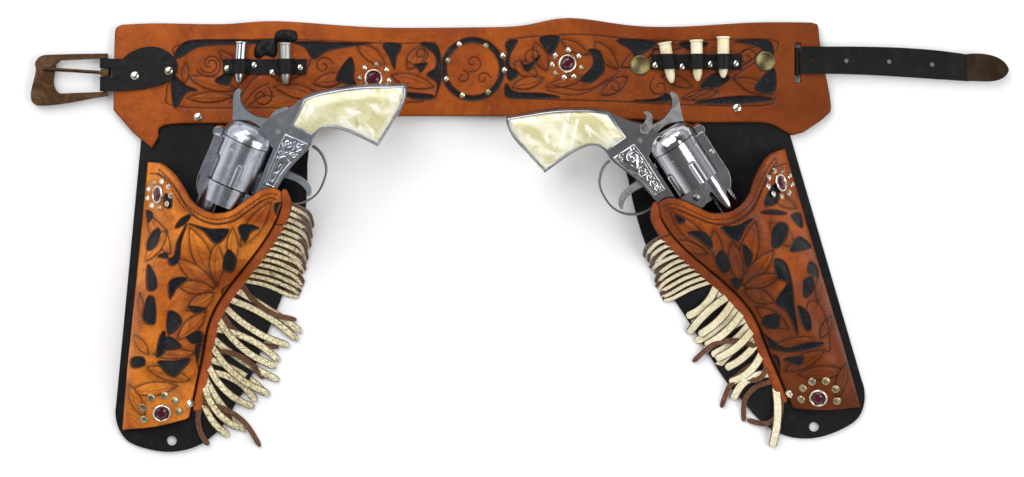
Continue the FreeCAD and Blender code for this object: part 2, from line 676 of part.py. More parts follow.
def grip_outline():
    return trace((-55.5, -27.3), [(-38.2, -26.2)], [(-38, -38.8)],
                 [(-43, -41.5), (-46.6, -46), (-48.6, -52), (-49.4, -60), (-49, -68), (-48.6, -77.2)],
                 [(-66, -79.9), (-79, -80.8), (-86, -78.6)],
                 [(-81, -68), (-77, -59.5), (-72, -50.2), (-66.6, -41.5), (-61.5, -34), (-55.5, -27.3)])


def grip(name, up, pose):
    base = "dims.frame_half" if up else "-dims.frame_half - dims.grip_thick"
    body = padded(name, grip_outline(), "dims.grip_thick", base)
    keep(name, body, pose)


def hammer(name, pose):
    px, py = HAMMER_PIVOT
    outline = trace((-25.6, 10.4), [(-29, 11), (-33, 12.6), (-38, 14.6), (-42, 15.3), (-44.8, 13.8)],
                    [(-44.4, 11.8)],
                    [(-40.5, 11.2), (-36.8, 8.4), (-34.4, 4), (-33.4, -1), (-34.4, -9), (px - 5, py)],
                    [(px, py - 5), (px + 5, py)], [(-27, -11), (-29.3, -4), (-28.8, 3)])
    body = padded(name, outline, "2 * dims.hammer_half", "-dims.hammer_half")
    drilled(body, f"{name}_bore", [(px, py, "dims.hammer_pin_r + dims.running_gap")])
    keep(name, body, pose)


def trigger(name, pose):
    px, py = TRIGGER_PIVOT
    outline = trace((px + 3.4, py), [(-5.8, -36), (-5.8, -42), (-4.2, -47), (-0.6, -50.4)],
                    [(-1.6, -51.8)], [(-6.8, -49.2), (-9.2, -44), (-10, -38), (px - 3.4, py)],
                    [(px, py + 3.4), (px + 3.4, py)])
    body = padded(name, outline, "2 * dims.trigger_half", "-dims.trigger_half")
    drilled(body, f"{name}_bore", [(px, py, "dims.trigger_pin_r + dims.running_gap")])
    keep(name, body, pose)


def guard(name, pose):
    """The guard: a thin bow, its outer and inner curves guard_thick apart."""
    rear, front = (-30.6, -40.9), (8.6, -30.9)
    bow = [(-29.6, -46), (-25.6, -51.6), (-20, -55.3), (-13, -56.5), (-5, -55.9), (1, -53), (6, -47.8),
           (8.6, -41.5)]
    thick = dim("guard_thick")
    middle = (-11, -42)

    def inward(p):
        away = V(middle[0] - p[0], middle[1] - p[1], 0).normalize() * thick
        return (p[0] + away.x, p[1] + away.y)

    outline = trace(rear, bow + [front], [(front[0] - thick, front[1] + 0.0)],
                    [inward(p) for p in reversed(bow)] + [(rear[0] + thick, rear[1])])
    body = padded(name, outline, "2 * dims.guard_half", "-dims.guard_half")
    keep(name, body, pose)


def lever(name, pose, turned):
    """The release lever lies on the frame's right side, its hook turned down over the frame by an angle."""
    px, py = LEVER_PIVOT
    outline = trace((px + 3.2, py), [(px + 1.8, py + 3.4), (-37.4, -6.2), (-41, -4.6), (-44.4, -6.2)],
                    [(-44.6, -8.2)], [(-41.5, -8), (-39.4, -10.4), (px - 3.2, py - 1)],
                    [(px, py - 3.2), (px + 3.2, py)])
    body = padded(name, outline, "dims.lever_thick", "dims.frame_half + 0.3")
    drilled(body, f"{name}_bore", [(px, py, "dims.lever_pin_r + dims.running_gap")])
    about = FreeCAD.Placement(V(0, 0, 0), FreeCAD.Rotation(Z_AXIS, turned), V(px, py, 0))
    keep(name, body, pose.multiply(about))


def leaf_spring(name, points, half, pose):
    """A flat spring: a strip of even thickness along a smooth line."""
    line = Part.BSplineCurve()
    line.interpolate([V(*p, -half) for p in points])
    path = Part.Wire([line.toShape()])
    tangent = line.tangent(line.FirstParameter)[0]
    across = V(-tangent.y, tangent.x, 0) * dim("spring_thick") / 2
    start = V(*points[0], -half)
    high = V(0, 0, 2 * half)
    corners = [start - across, start + across, start + across + high, start - across + high]
    strip = path.makePipeShell([Part.makePolygon(corners + corners[:1])], True, False)
    feature(name, strip, pose)


def pins(name, pose):
    half = dim("frame_half")
    px, py = LEVER_PIVOT
    axis = dim("cylinder_axis")
    rods = [rod(dim("hammer_pin_r"), V(*HAMMER_PIVOT, -half), V(*HAMMER_PIVOT, half)),
            rod(dim("trigger_pin_r"), V(*TRIGGER_PIVOT, -half), V(*TRIGGER_PIVOT, half)),
            rod(dim("hinge_pin_r"), V(*BARREL_PIVOT, -half), V(*BARREL_PIVOT, half)),
            rod(dim("arbor_r"), V(-17, axis, 0), V(20, axis, 0)),
            rod(dim("lever_pin_r"), V(px, py, dim("slot_half") + 0.2), V(px, py, half + 3.2))]
    feature(name, Part.makeCompound(rods), pose)


def screws(name, pose):
    half = dim("frame_half")
    heads = [dome(2.6, 0.9, V(*BARREL_PIVOT, half)), dome(2.0, 0.8, V(-1, 13.9, 9.5))]
    feature(name, Part.makeCompound(heads), pose)


def pistol(side):
    spec = SIDES[side]
    turn = math.radians(spec["gun_turn"])
    tilt = math.radians(dim("gun_tilt"))
    hand = spec["gun_hand"]
    ahead = V(hand * math.sin(turn) * math.cos(tilt), -math.cos(turn) * math.cos(tilt), -math.sin(tilt))
    up = V(hand * math.cos(turn), math.sin(turn), 0)
    out = ahead.cross(up)
    rows = [ahead.x, up.x, out.x, 0, ahead.y, up.y, out.y, 0, ahead.z, up.z, out.z, 0, 0, 0, 0, 1]
    matrix = FreeCAD.Matrix(*rows)
    pose = FreeCAD.Placement(matrix)
    pose.Base = V(*spec["gun_at"], dim("gun_high"))
    gun = f"{side}_gun"
    frame_half(f"{gun}_frame_left", False, pose)
    frame_half(f"{gun}_frame_right", True, pose)
    barrel(f"{gun}_barrel", pose)
    cylinder(f"{gun}_cylinder", pose)
    grip(f"{gun}_grip_left", False, pose)
    grip(f"{gun}_grip_right", True, pose)
    hammer(f"{gun}_hammer", pose)
    trigger(f"{gun}_trigger", pose)
    guard(f"{gun}_trigger_guard", pose)
    lever(f"{gun}_release_lever", pose, spec["lever_turned"])
    leaf_spring(f"{gun}_hammer_spring", [(-66, -68), (-56, -48), (-46, -34), (-38.4, -24.6)], 2.4, pose)
    leaf_spring(f"{gun}_trigger_spring", [(6.5, -24), (1, -23.6), (-4, -24.2)], 2.0, pose)
    pins(f"{gun}_pins", pose)
    screws(f"{gun}_screws", pose)


# ---------------------------------------------------------------- places on the belt

BAR_X = -257.0
PRONG_Y = 99.0
BILLET_X = 173.5
CASE_Z = 9.75
BELT_ROSETTES = [(29, 104.5), (-91, 95.5)]
# The round spots of the middle ring, then of the belt's two rosettes.
BELT_SPOTS = [(-38, 116.5), (-21.5, 115.5), (-11, 109.5), (-10, 100.5), (-20, 87), (-36, 85), (-46, 95),
              (-45, 106.5), (29.5, 112.8), (36, 109), (37.5, 102), (33, 96.5), (27, 96), (21.5, 98.5),
              (19.5, 103.8), (21.5, 109.5), (-89, 104), (-83, 100.5), (-81.5, 94), (-84, 89), (-91, 86.8),
              (-97, 89), (-99.5, 95.5), (-96.5, 101.8)]
POCKET_ROSETTES = [(10.4, 147.5), (24.5, 13.8)]
# The spots over the rosette by the toe.
TOE_SPOTS = [(14, 8.5), (13, 16), (17.5, 22.5), (25.8, 24.5), (32.3, 22), (35, 15.5)]
LOOP_RIVETS = [(-181.4, 101.5), (-165, 103.5), (-153.5, 99), (-136.5, 102), (83.5, 103.5), (99.8, 102.5),
               (117.3, 104), (133, 104.5)]
# Where each play cartridge's base is, and how far its axis is turned from straight down the belt.
CARTRIDGES = {
    1: {"base": (-172.4, 117.8), "turn": -4.0},
    2: {"base": (-145.4, 117.2), "turn": 1.0},
    3: {"base": (89.0, 117.5), "turn": 10.0},
    4: {"base": (108.6, 119.0), "turn": 2.0},
    5: {"base": (125.2, 121.0), "turn": 0.0},
}
# Angle of the first and the last thong, length of the long ones and of the short ones.
FRINGE = {"left": (-8, -58, 38, 14), "right": (-4, -48, 30, 14)}


def build():
    fill_sheet()
    belt_panel()
    buckle_strap()
    buckle()
    billet()
    for number in CARTRIDGES:
        cartridge(number)
    cartridge_loops("left_bullet_loops", (-184, -132.5), 102.5, [1, 2])
    cartridge_loops("right_bullet_loops", (80.7, 137), 105.5, [3, 4, 5])
    belt_trim()
    for side in SIDES:
        pocket(side)
        pistol(side)
    holster_jewels()
    doc.recompute()


def check():
    for obj in doc.Objects:
        if "Invalid" in obj.State or "Error" in obj.State:
            raise RuntimeError(f"{obj.Label}: {obj.State}")
    for name, obj in nodes.items():
        if obj.Shape.isNull() or not obj.Shape.isValid() or obj.Shape.Volume <= 0:
            raise RuntimeError(f"{name}: its shape isn't sound")


build()
check()
os.makedirs("parts", exist_ok=True)
for name, obj in nodes.items():
    obj.Shape.exportStep(f"parts/{name}.step")
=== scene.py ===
import json
import math

import bmesh
import bpy
import numpy as np
from mathutils import Matrix, Vector


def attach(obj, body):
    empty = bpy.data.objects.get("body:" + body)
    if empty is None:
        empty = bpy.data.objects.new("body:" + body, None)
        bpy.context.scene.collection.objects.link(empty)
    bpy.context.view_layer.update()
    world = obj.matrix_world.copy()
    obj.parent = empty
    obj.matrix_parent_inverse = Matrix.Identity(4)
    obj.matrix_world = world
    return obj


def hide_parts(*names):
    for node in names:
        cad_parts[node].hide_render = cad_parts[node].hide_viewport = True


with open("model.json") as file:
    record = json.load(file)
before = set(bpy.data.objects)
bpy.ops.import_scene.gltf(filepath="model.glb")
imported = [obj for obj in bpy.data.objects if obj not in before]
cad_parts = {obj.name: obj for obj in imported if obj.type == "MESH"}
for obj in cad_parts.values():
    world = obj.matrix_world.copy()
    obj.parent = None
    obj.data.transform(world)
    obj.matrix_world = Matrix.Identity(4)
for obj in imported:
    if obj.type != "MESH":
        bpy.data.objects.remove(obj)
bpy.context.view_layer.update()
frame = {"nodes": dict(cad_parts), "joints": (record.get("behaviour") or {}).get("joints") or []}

# A child's western play set: the looks. Lengths are millimetres; texture and subsurface sizes, the stage and
# the camera are in metres. Heights are above the floor. SEAT is how deep trim sits in the leather; SPOT to
# DISC are radii.

MM = 0.001
rng = np.random.default_rng(7)

BELT_TOP = 5.4
BACK_TOP = 2.4
LEATHER = 2.4
WELT_WIDE = 7.0
WELT_CREASE = 136.0
WELT_END = 149.6
WELT_TAB = 8.6
LIP_HIGH = 35.2
ROOF_LOW = 14.2
ROOF_RISE = 0.16
BELT_STEP = 0.55
FINE_STEP = 0.5
SEAT = 0.1
SPOT = 2.15
LARGE_SPOT = 2.7
RIVET = 2.8
LOOP_RIVET = 2.0
JEWEL = 4.4
DISC = 6.2

# The pockets' frames: x from the outer fold inwards (mirrored where hand is -1), y from the toe to the mouth.
POCKETS = {
    "left": {"hand": 1, "at": (-247.1, -122.5), "turn": -5.4},
    "right": {"hand": -1, "at": (211.1, -108.2), "turn": 16.3},
}
HAMMER_PIVOT = (-31.0, -19.0)
FRAME_HALF = 8.0
GRIP_THICK = 4.2


# ---------------------------------------------------------------- curves and distances

def smooth_line(points, closed=False, per=6):
    """A smooth line through the points."""
    p = np.array(points, float)
    n = len(p)
    spans = n if closed else n - 1
    out = []
    for i in range(spans):
        pick = [(i + k) % n if closed else min(max(i + k, 0), n - 1) for k in (-1, 0, 1, 2)]
        a, b, c, d = p[pick]
        for t in np.arange(per) / per:
            out.append(0.5 * (2 * b + (c - a) * t + (2 * a - 5 * b + 4 * c - d) * t ** 2
                              + (3 * b - a - 3 * c + d) * t ** 3))
    if not closed:
        out.append(p[-1])
    return np.array(out)


def nearest(points, line, closed=False):
    """Distance to a line, the side of it (+1 left) and the nearest point on it."""
    ends = np.roll(line, -1, 0) if closed else line[1:]
    best = np.full(len(points), 1e9)
    side = np.zeros(len(points))
    foot = np.zeros((len(points), 2))
    for a, b in zip(line, ends):
        run = b - a
        long = run @ run
        if long < 1e-12:
            continue
        t = np.clip((points - a) @ run / long, 0, 1)
        q = a + t[:, None] * run
        d = np.hypot(*(points - q).T)
        closer = d < best
        best[closer] = d[closer]
        foot[closer] = q[closer]
        cross = run[0] * (points[:, 1] - a[1]) - run[1] * (points[:, 0] - a[0])
        side[closer] = np.sign(cross[closer])
    return best, side, foot


def inside(points, loop):
    """Which points lie inside the loop."""
    hit = np.zeros(len(points), bool)
    x, y = points.T
    for (ax, ay), (bx, by) in zip(loop, np.roll(loop, -1, 0)):
        if ay == by:
            continue
        crosses = (ay > y) != (by > y)
        hit ^= crosses & (x < (bx - ax) * (y - ay) / (by - ay) + ax)
    return hit


def ramp(value, low, high):
    """0 below low, 1 above high and a smooth rise between."""
    t = np.clip((value - low) / (high - low), 0, 1)
    return t * t * (3 - 2 * t)


def unit(rows):
    """The rows scaled to length 1."""
    return rows / np.linalg.norm(rows, axis=1)[:, None]


def grid(loop, step):
    """The x and y steps of a grid that covers a loop."""
    low, top = loop.min(0) - 1, loop.max(0) + 1
    return np.arange(low[0], top[0], step), np.arange(low[1], top[1], step)


def at_height(height):
    """A function that puts plan points at one height."""
    return lambda plan: np.column_stack([plan, np.full(len(plan), height)])


# ---------------------------------------------------------------- tooling

def spiral(centre, radius, start, turns, hand=1):
    """A scroll that winds inwards."""
    t = np.linspace(0, 1, 16)
    angle = math.radians(start) + hand * t * turns * 2 * math.pi
    r = radius * (1 - 0.82 * t)
    return [(centre[0] + a * math.cos(b), centre[1] + a * math.sin(b)) for a, b in zip(r, angle)]


def bow(base, tip, bulge):
    """A curve from base to tip that bulges to its left."""
    base, tip = np.array(base, float), np.array(tip, float)
    run = tip - base
    side = np.array([-run[1], run[0]]) / np.hypot(*run)
    middle = (base + tip) / 2 + side * bulge
    t = np.linspace(0, 1, 14)[:, None]
    return (1 - t) ** 2 * base + 2 * t * (1 - t) * middle + t ** 2 * tip


def carve(points, art):
    """Relief height, black dye and dark antique of tooled leather at the points."""
    high = np.zeros(len(points))
    dye = np.zeros(len(points))
    dark = np.zeros(len(points))

    def near(line, margin):
        low, top = line.min(0) - margin, line.max(0) + margin
        return np.nonzero(((points > low) & (points < top)).all(1))[0]

    def cut(line, deep, wide, bevel):
        pick = near(line, 8)
        d, side, _ = nearest(points[pick], line)
        high[pick] -= deep * np.exp(-(d / wide) ** 2)
        high[pick] -= bevel * np.exp(-d / 1.8) * (side > 0)
        dark[pick] = np.maximum(dark[pick], min(1, deep * 2.2) * np.exp(-(d / (wide * 1.1)) ** 2))

    scale = art.get("scale", 1.0)
    for base, tip, bulge in art["petals"]:
        one = bow(base, tip, 2 * bulge)
        loop = np.concatenate([one, bow(base, tip, -2 * bulge)[::-1][1:-1]])
        pick = near(loop, 6 * scale)
        d, _, _ = nearest(points[pick], loop, True)
        within = inside(points[pick], loop)
        vein, _, _ = nearest(points[pick], bow(base, np.array(base) * 0.1 + np.array(tip) * 0.9, 0.5 * bulge))
        dome = 0.34 * scale * (1 - np.exp(-d / (1.1 * scale)))
        dome -= 0.24 * scale * np.exp(-(vein / (0.4 * scale)) ** 2)
        groove = 0.4 * scale * np.exp(-(d / (0.32 * scale)) ** 2)
        high[pick] = np.where(within, dome - groove, high[pick] - 0.62 * scale * np.exp(-d / (1.5 * scale)))
        shade = np.where(within, 0.25 * np.exp(-d / scale) + 0.5 * np.exp(-(vein / (0.35 * scale)) ** 2),
                         0.8 * np.exp(-d / (1.1 * scale)))
        outline = np.exp(-(d / (0.3 * scale)) ** 2)
        dark[pick] = np.maximum(np.where(within, 0.0, dark[pick]), np.maximum(shade, outline))
        for k in (-1.25, -0.65, 0.65, 1.25):
            reach = np.array(base) + (np.array(tip) - base) * 0.7
            cut(bow(base, reach, bulge * k), 0.13 * scale, 0.26 * scale, 0.0)
    for line in art["cuts"]:
        cut(smooth_line(line), 0.42, 0.4, 0.2)
    for patch in art["patches"]:
        loop = smooth_line(patch, True, 5)
        pick = near(loop, 6)
        d, _, _ = nearest(points[pick], loop, True)
        d = np.where(inside(points[pick], loop), -d, d)
        hollow = ramp(-d, -0.2, 0.5)
        lifted = high[pick] + 0.28 * np.exp(-(d / 1.5) ** 2)
        high[pick] = lifted * (1 - hollow) - 0.85 * hollow
        dye[pick] = np.maximum(dye[pick], ramp(-d, -0.1, 0.35))
        dark[pick] = np.maximum(dark[pick], 0.9 * np.exp(-(d / 0.55) ** 2))
    for centre, inner, outer in art.get("bands", []):
        r = np.hypot(*(points - np.array(centre)).T)
        d = np.abs(r - (inner + outer) / 2) - (outer - inner) / 2
        hollow = ramp(-d, -0.2, 0.5)
        high[:] = (high + 0.2 * np.exp(-(d / 1.2) ** 2)) * (1 - hollow) - 0.7 * hollow
        dye[:] = np.maximum(dye, ramp(-d, -0.1, 0.4))
        dark[:] = np.maximum(dark, 0.8 * np.exp(-(d / 0.6) ** 2))
    for start, stop, lean in art.get("stamps", []):
        count = int(np.hypot(stop[0] - start[0], stop[1] - start[1]) / 2.1)
        for t in np.linspace(0, 1, count):
            at = np.array(start) * (1 - t) + np.array(stop) * t
            cut(bow(at, at + np.array(lean), 0.6), 0.2, 0.3, 0.0)
    return high, dye, dark


BELT_ART = {
    "bands": [((-29.5, 101), 16.4, 19.6)],
    "cuts": [
        [(-213, 108), (-211, 116), (-160, 119.5), (-120, 118.5), (-80, 117), (-52, 117.5)],
        [(-8, 119.5), (12, 121.5), (40, 122.5), (70, 119.5), (100, 118.5), (154, 119.5), (158, 112)],
        [(-216, 98), (-219, 86), (-213, 78), (-160, 77), (-110, 78), (-60, 81)],
        [(5, 82.5), (60, 81), (100, 79), (150, 78.5), (158, 84)],
        spiral((-192, 104), 9, 200, 1.2), spiral((-192, 104), 6.5, 200, 0.9),
        spiral((-160, 84), 7, 60, 1.2, -1), spiral((-122, 103), 6, 10, 1.2),
        spiral((8, 109), 6, 250, 1.1, -1),
        spiral((86, 90), 6.5, 120, 1.2), spiral((140, 108), 6, 20, 1.2), spiral((58, 90), 5, 200, 1.1, -1),
        spiral((-62, 110), 5, 300, 1.1), spiral((-29.5, 105), 6, 250, 1.1),
        spiral((-36, 96), 4.5, 80, 1.0, -1), spiral((-23, 95), 4.5, 10, 1.0),
        [(-176, 78), (-168, 92), (-158, 99), (-148, 92)], [(-172, 78), (-164, 88), (-156, 92)],
        [(-168, 78), (-160, 84), (-152, 84)], [(-180, 79), (-174, 92), (-164, 102)],
        [(100, 82), (112, 88), (126, 104), (138, 112)], [(106, 82), (118, 88), (134, 98), (150, 108)],
        [(16, 88), (34, 85), (48, 90), (62, 100)], [(20, 91), (40, 88), (54, 95)],
    ],
    "petals": [
        ((-80, 97), (-54, 90), 4), ((-70, 101), (-60, 115), 4.5), ((-84, 104), (-101, 116), 4),
        ((-108, 96), (-128, 92), 4), ((10, 97), (-4, 105), 4.5), ((14, 95), (-5, 90), 3.5),
        ((16, 100), (9, 117), 4), ((42, 110), (25, 119), 3), ((40, 96), (16, 90), 2.5),
        ((60, 101), (46, 118), 4), ((62, 102), (84, 115), 4), ((66, 96), (50, 85), 4),
        ((100, 114), (74, 117), 2.5), ((122, 87), (100, 83), 3), ((128, 102), (150, 115), 3.5),
        ((132, 95), (156, 86), 4), ((-150, 94), (-130, 106), 4), ((-152, 90), (-124, 84), 4),
        ((-172, 98), (-186, 112), 3.5), ((-176, 88), (-205, 96), 4), ((-178, 84), (-206, 83), 3),
        ((88, 97), (106, 90), 3), ((-208, 92), (-207, 105), 2),
    ],
    "patches": [
        [(-214, 108), (-212, 114), (-204, 118.6), (-182, 119.2), (-150, 118.8), (-140, 118.6), (-146, 116.6),
         (-176, 116.4), (-196, 115.2), (-203, 113), (-209, 109)],
        [(-189, 94), (-178, 100), (-181, 91)],
        [(-216, 97), (-207, 91), (-200, 88), (-207, 86), (-214, 77)],
        [(-140, 118), (-112, 117.4), (-92, 117), (-108, 114.6), (-120, 112), (-128, 107), (-133, 114)],
        [(-114, 95), (-106, 108), (-103, 103), (-103, 94), (-97, 87), (-106, 91)],
        [(-85, 116.6), (-74, 116), (-77, 108), (-78, 101), (-81, 108)],
        [(-71, 107), (-66, 104), (-58, 105), (-60, 101), (-62, 99), (-64, 102)],
        [(-62, 117), (-53, 116.6), (-50, 111), (-49.2, 103), (-49.5, 93), (-53, 83), (-51.5, 92), (-58, 97.5),
         (-52.6, 102), (-53, 110)],
        [(-72, 86.5), (-55, 85), (-56, 82.4), (-66, 82.6)],
        [(-9, 117.5), (-2, 118.8), (-6.4, 110), (-6.6, 103), (-1, 98.5), (-7, 94), (-9.8, 104), (-8.2, 110)],
        [(0, 106), (4, 103.5), (12, 109.5), (9, 104), (4, 99.5)],
        [(12, 120.4), (24, 121), (19.5, 110), (15.6, 113)],
        [(-9, 92), (-8.6, 84), (4, 82.6), (24, 83.4), (14, 86), (2, 86.4), (-5, 87.6)],
        [(42, 113), (49, 112), (52, 101), (48.5, 96), (43, 92.5), (37, 94.5), (44, 102), (45, 108)],
        [(60, 119.4), (84, 117.6), (72, 109), (68, 113)],
        [(98, 117.4), (116, 117.2), (106, 112.6)],
        [(132, 118.4), (153, 118.8), (156.4, 109), (151, 112), (146, 115.4)],
        [(111, 90), (119, 98), (129, 96.4), (122, 90)],
        [(145, 89.6), (156, 101.6), (158, 90), (154, 86)],
        [(108, 80), (124, 83.4), (146, 84.4), (156, 82), (134, 79.6)],
        [(70, 81.6), (84, 82.6), (90, 86), (92, 81)],
    ],
}

# Tooling that both pockets share, in a pocket's own frame.
FLOWER = [
    ((52, 94), (33, 129), 5.5), ((51, 96), (50, 121), 4.2), ((51, 93), (27, 109), 4.6),
    ((50, 92), (28, 93.5), 4), ((50, 90), (35, 78), 4.2), ((64, 120), (81, 149), 4.4),
    ((60, 110), (59, 131), 3.2), ((46, 78), (31, 60), 4), ((42, 52), (17, 49.5), 3), ((40, 35), (14, 41), 4),
    ((33, 31), (4, 25), 4), ((14, 10), (2.5, 29), 3.4), ((3, 60), (14, 49), 2.6), ((4, 86), (9, 70), 1.8),
]
STAMPS = [((2, 44), (2, 84), (6, 3)), ((2.5, 12), (8, 27), (4, -2)), ((6, 8), (12, 24), (3.6, -2.4))]
POCKET_ART = {
    "left": {
        "stamps": STAMPS,
        "cuts": [
            [(3, 160), (12, 159), (22, 151), (30, 141), (38, 135), (48, 132.5), (58, 135), (66, 141),
             (76, 150)],
        ],
        "petals": FLOWER + [((4, 134), (22, 112), 5), ((18, 126), (6, 106), 4)],
        "patches": [
            [(32, 131.5), (45, 129.5), (57, 130), (50, 120.5), (41, 128)],
            [(15, 148), (19.5, 147), (20, 140), (15, 141)],
            [(6, 113), (7, 121), (13, 127), (14.5, 121), (11, 114)],
            [(14, 109.5), (20, 112.5), (22.5, 105), (28, 108), (28.5, 120), (31, 131), (26, 120), (24, 110)],
            [(8, 104), (14, 98), (15.5, 90), (9.5, 89)],
            [(10, 83.5), (15, 83.5), (16.5, 68.5), (8.5, 70)],
            [(23, 94), (28, 98), (34, 97.5), (28, 91), (24.5, 84.5)],
            [(24, 76.5), (30.5, 75), (32, 69), (25, 62.5)],
            [(20, 53), (25, 61.5), (33.5, 55)],
            [(20, 45), (30, 46.5), (39, 48.5), (34, 40), (29, 36.5)],
            [(36, 81), (46, 80.2), (40, 76.8)],
            [(54, 92), (60, 97.5), (57, 88)],
            [(62.5, 132), (68, 134.5), (75, 133), (70, 130), (66.5, 123)],
            [(41.5, 57), (46, 56), (46.5, 40), (43, 46)],
            [(83, 148), (87.5, 149), (85, 142)],
            [(3, 137), (8, 135), (5, 129)], [(27, 134), (33, 137), (30, 131), (24, 128)],
            [(54, 107), (57, 118), (62, 112), (59, 104)], [(20, 60), (23, 64), (24, 52), (19, 48)],
            [(4, 46), (11, 47), (12, 42), (4, 40)], [(36, 62), (43, 66), (46, 60), (40, 58)],
        ],
    },
    "right": {
        "stamps": STAMPS,
        "cuts": [
            [(3, 158), (12, 157), (22, 148), (31, 138), (40, 133), (49, 132), (58, 135), (66, 141),
             (76, 149)],
            [(7, 52), (8, 68), (14, 73), (19, 66)], [(7, 52), (10, 40), (14, 42)],
        ],
        "petals": FLOWER + [((24, 126), (14, 108), 5), ((4, 130), (18, 141), 3), ((66, 118), (84, 132), 3)],
        "patches": [
            [(9, 149), (18, 146), (24.5, 137.5), (17, 136), (13, 141)],
            [(34, 131.5), (44, 130), (54, 131.5), (47, 120.5), (40, 127)],
            [(13.5, 120), (18, 124.5), (24, 121.5), (27, 111), (20, 111.5)],
            [(12, 128.5), (20, 133), (28, 133.5), (19, 129.5)],
            [(2.5, 104.5), (9, 112.5), (17, 106), (10, 104)],
            [(22, 100), (28, 103.5), (29.5, 92), (24.5, 87.5), (34, 78), (29, 70), (26.5, 55), (24, 72),
             (21.5, 88)],
            [(13, 46), (24, 49), (36, 49), (46, 61), (45, 52), (34, 46), (18, 44)],
            [(8, 86.5), (14, 86), (16.5, 76), (9, 79)],
            [(61.5, 125), (65, 132), (74, 134.5), (69, 128), (63, 121)],
            [(50, 97), (56, 98.5), (54, 91.5)],
            [(27, 41), (38, 42.5), (31, 36.5)],
            [(41, 43), (44, 46), (44, 32)],
            [(74, 142), (79, 147), (78, 141)], [(3, 126), (10, 126), (5, 117)],
            [(40, 110), (44, 118), (45, 104)], [(54, 107), (57, 118), (62, 112), (59, 104)],
            [(17, 66), (22, 72), (22, 58), (18, 56)], [(34, 70), (42, 71), (45, 66), (37, 62)],
            [(3, 92), (7, 96), (10, 90), (4, 85)],
        ],
    },
}


# ---------------------------------------------------------------- meshes

def new_object(name, data):
    obj = bpy.data.objects.new(name, data)
    bpy.context.scene.collection.objects.link(obj)
    return obj


def mesh_object(name, shape, materials, body, node=None, picks=None, marks=None, flat=False):
    """An object from (vertices in millimetres, faces) that stands for a CAD node if one is named.

    picks are the faces' material numbers; marks are values on the vertices.
    """
    verts, faces = shape
    mesh = bpy.data.meshes.new(name)
    mesh.from_pydata((np.asarray(verts) * MM).tolist(), [], [tuple(map(int, f)) for f in faces])
    for material in materials:
        mesh.materials.append(material)
    if picks is not None:
        mesh.polygons.foreach_set("material_index", np.asarray(picks, np.int32))
    for label, values in (marks or {}).items():
        mesh.attributes.new(label, "FLOAT", "POINT").data.foreach_set("value", np.asarray(values, np.float32))
    if not flat:
        mesh.shade_smooth()
    obj = new_object(name, mesh)
    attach(obj, body)
    if node:
        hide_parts(node)


def sheet_mesh(xs, ys, loop, holes, lift, under, art, edge=0.7, turn_over=False):
    """A carved sheet over a grid, as a shape and its marks.

    lift and under take plan points to the sheet's top and bottom surface.
    """
    gx, gy = np.meshgrid(xs, ys, indexing="ij")
    plan = np.column_stack([gx.ravel(), gy.ravel()])
    loops = [loop] + holes
    gap = np.full(len(plan), 1e9)
    foot = plan.copy()
    for line in loops:
        d, _, q = nearest(plan, line, True)
        closer = d < gap
        gap[closer] = d[closer]
        foot[closer] = q[closer]
    is_in = inside(plan, loop)
    for hole in holes:
        is_in &= ~inside(plan, hole)
    step = min(np.median(np.diff(xs)), np.median(np.diff(ys)))
    kept = is_in | (gap < 0.5 * step)
    ids = np.arange(len(plan)).reshape(gx.shape)
    quads = np.stack([ids[:-1, :-1], ids[1:, :-1], ids[1:, 1:], ids[:-1, 1:]], -1).reshape(-1, 4)
    quads = quads[kept[quads].all(1)]
    used, quads = np.unique(quads, return_inverse=True)
    quads = quads.reshape(-1, 4)
    plan, gap, foot = plan[used], gap[used], foot[used]
    edges = np.concatenate([quads[:, [i, (i + 1) % 4]] for i in range(4)])
    _, first, count = np.unique(np.sort(edges, 1), axis=0, return_index=True, return_counts=True)
    rim = edges[first[count == 1]]
    on_rim = np.unique(rim)
    snap = on_rim[gap[on_rim] < 1.6 * step]
    plan[snap] = foot[snap]
    gap[on_rim] = 0
    high, dye, dark = carve(plan, art)
    fade = ramp(gap, 0, 1.4)
    high = high * fade - edge * (1 - np.clip(gap / 1.1, 0, 1)) ** 2
    top = lift(plan, high)
    low = under(plan)
    n = len(plan)
    wall = np.column_stack([rim[:, 1], rim[:, 0], rim[:, 0] + n, rim[:, 1] + n])
    faces = np.concatenate([quads, quads[:, ::-1] + n, wall])
    if turn_over:
        faces = faces[:, ::-1]
    marks = {"dye": np.concatenate([dye * fade, np.zeros(n)]),
             "dark": np.concatenate([dark, np.full(n, 0.3)]),
             "edge": np.concatenate([np.exp(-gap / 0.7), np.zeros(n)])}
    return (np.concatenate([top, low]), faces), marks


def rings(rows, around, closed=False):
    """Quads between rows of points that each go round a tube."""
    faces = []
    for i in range(rows if closed else rows - 1):
        a, b = i * around, (i + 1) % rows * around
        faces += [(a + k, a + (k + 1) % around, b + (k + 1) % around, b + k) for k in range(around)]
    return faces


def caps(rows, around):
    """The two end faces of such a tube."""
    return [tuple(range(around))[::-1], tuple((rows - 1) * around + k for k in range(around))]


